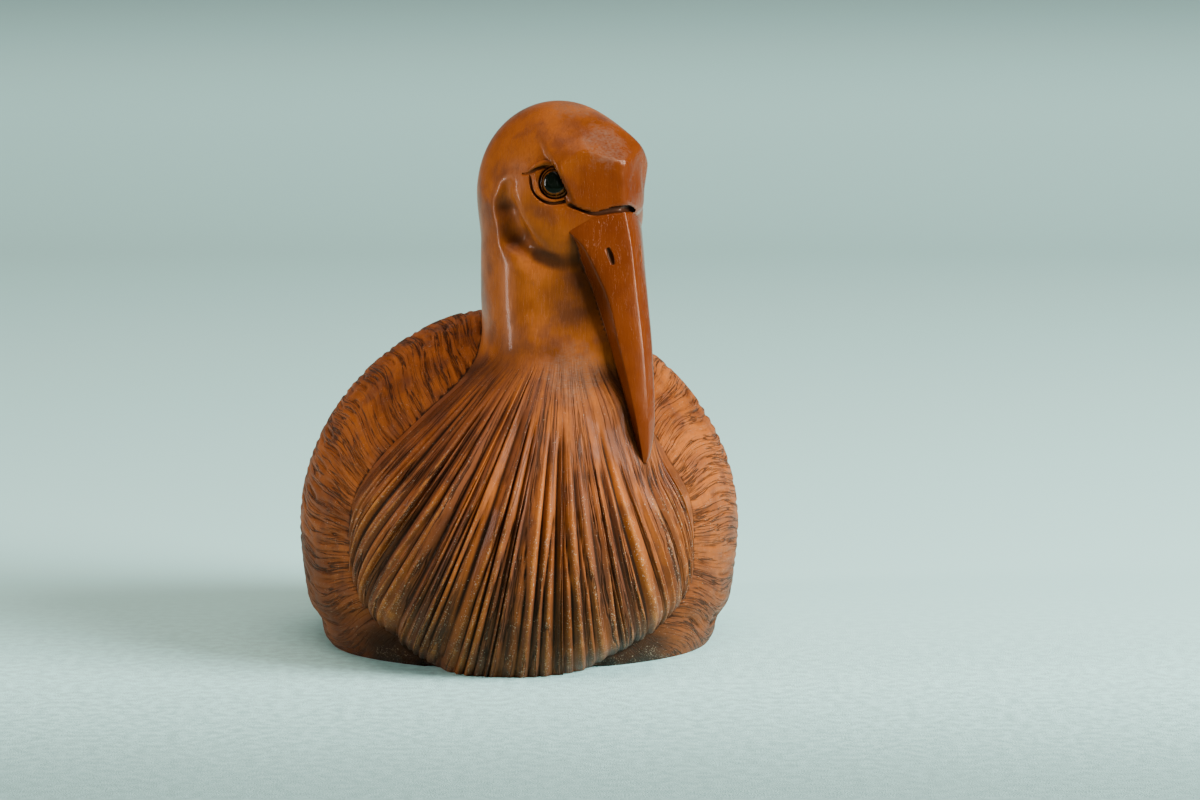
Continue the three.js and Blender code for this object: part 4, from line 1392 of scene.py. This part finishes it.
def sweep(name, width, front, back, rise, steps=48):
    """A sheet that lies flat from front to back and then bends up in a quarter circle to a wall."""
    turn = np.linspace(0, math.pi / 2, steps)
    bend = 0.35
    y = np.concatenate([[front], back + bend * np.sin(turn), [back + bend]])
    z = np.concatenate([[0.0], bend * (1 - np.cos(turn)), [rise]])
    x = np.array([-width / 2, width / 2])
    points = np.stack(np.broadcast_arrays(x[None, :], y[:, None], z[:, None]), -1).reshape(-1, 3)
    row = np.arange(len(y) - 1) * 2
    faces = np.stack([row, row + 1, row + 3, row + 2], -1)
    mesh = mesh_of(name, points / HUNDREDTH, faces.ravel(), np.full(len(faces), 4))
    mesh.polygons.foreach_set("use_smooth", np.ones(len(faces), bool))
    return in_scene(name, mesh)


def cloth_material():
    """Pale felt: a fine nap and a faint fleck that fade out behind, with painted shade darker up the bend and
    in front.
    """
    material, tree, shader, place = new_material("backdrop_cloth")
    parts = add(tree, "SeparateXYZ", {0: place}).outputs
    near = between(tree, parts["Y"], 0.03, -0.04)
    fleck = between(tree, noise(tree, place, 1100.0, 7.0), 0.3, 0.7, 0.0, near)
    fleck = plus(tree, fleck, between(tree, near, 0.0, 1.0, 0.5, 0.0))
    nap = times(tree, noise(tree, place, 7000.0, 4.0), near)
    colour = layered(
        tree, CLOTH_DARK, (fleck, CLOTH_PALE),
        # Painted shade, darker up the bend.
        (between(tree, parts["Z"], 0.012, 0.04, 0.0, 0.72), PAINTED_SHADE_UP_THE_BEND),
        # Painted shade, darker towards the front.
        (between(tree, parts["Y"], -0.012, -0.06, 0.0, 0.75), PAINTED_SHADE_IN_FRONT),
    )
    connect(tree, shader, Base_Color=colour, Roughness=0.95, Normal=bumped(tree, nap, 0.0001))
    return material


def softbox(name, direction, distance, size, power_watts, colour):
    """A rectangular area light at a distance from the middle of the object, facing it."""
    light = bpy.data.lights.new(name, "AREA")
    light.color = colour
    light.shape = "RECTANGLE"
    light.size, light.size_y = size
    light.energy = power_watts
    lamp = in_scene(name, light)
    toward = Vector(direction).normalized()
    lamp.location = Vector(LIGHT_AIM) + toward * distance
    lamp.rotation_euler = toward.to_track_quat("Z", "Y").to_euler()


backdrop = sweep("backdrop", width=0.5, front=-0.12, back=0.3, rise=0.4)
backdrop.data.materials.append(cloth_material())
for panel in PANELS:
    softbox(*panel)
world = bpy.data.worlds.new("studio")
world.use_nodes = True
room = world.node_tree.nodes["Background"].inputs
room["Color"].default_value = ROOM_COLOUR
room["Strength"].default_value = ROOM_STRENGTH
bpy.context.scene.world = world

# The camera looks slightly down. Its distance and lens come from the object's outline in the photograph.
PHOTO_WIDTH = 1200
PIXELS_PER_HUNDREDTH = 5.4801
CAMERA_DISTANCE = 800
CAMERA_PITCH = math.radians(8)
CAMERA_AIM = (14.846, 0, 44.136)
SENSOR_WIDTH = 36.0
camera_data = bpy.data.cameras.new("photo_view")
camera_data.sensor_width = SENSOR_WIDTH
camera_data.lens = PIXELS_PER_HUNDREDTH * CAMERA_DISTANCE / PHOTO_WIDTH * SENSOR_WIDTH
camera_data.clip_start = 0.01
camera = in_scene("photo_view", camera_data)
camera.location = (
    CAMERA_AIM[0] * HUNDREDTH,
    -CAMERA_DISTANCE * math.cos(CAMERA_PITCH) * HUNDREDTH,
    (CAMERA_AIM[2] + CAMERA_DISTANCE * math.sin(CAMERA_PITCH)) * HUNDREDTH,
)
camera.rotation_euler = (math.pi / 2 - CAMERA_PITCH, 0, 0)
bpy.context.scene.camera = camera
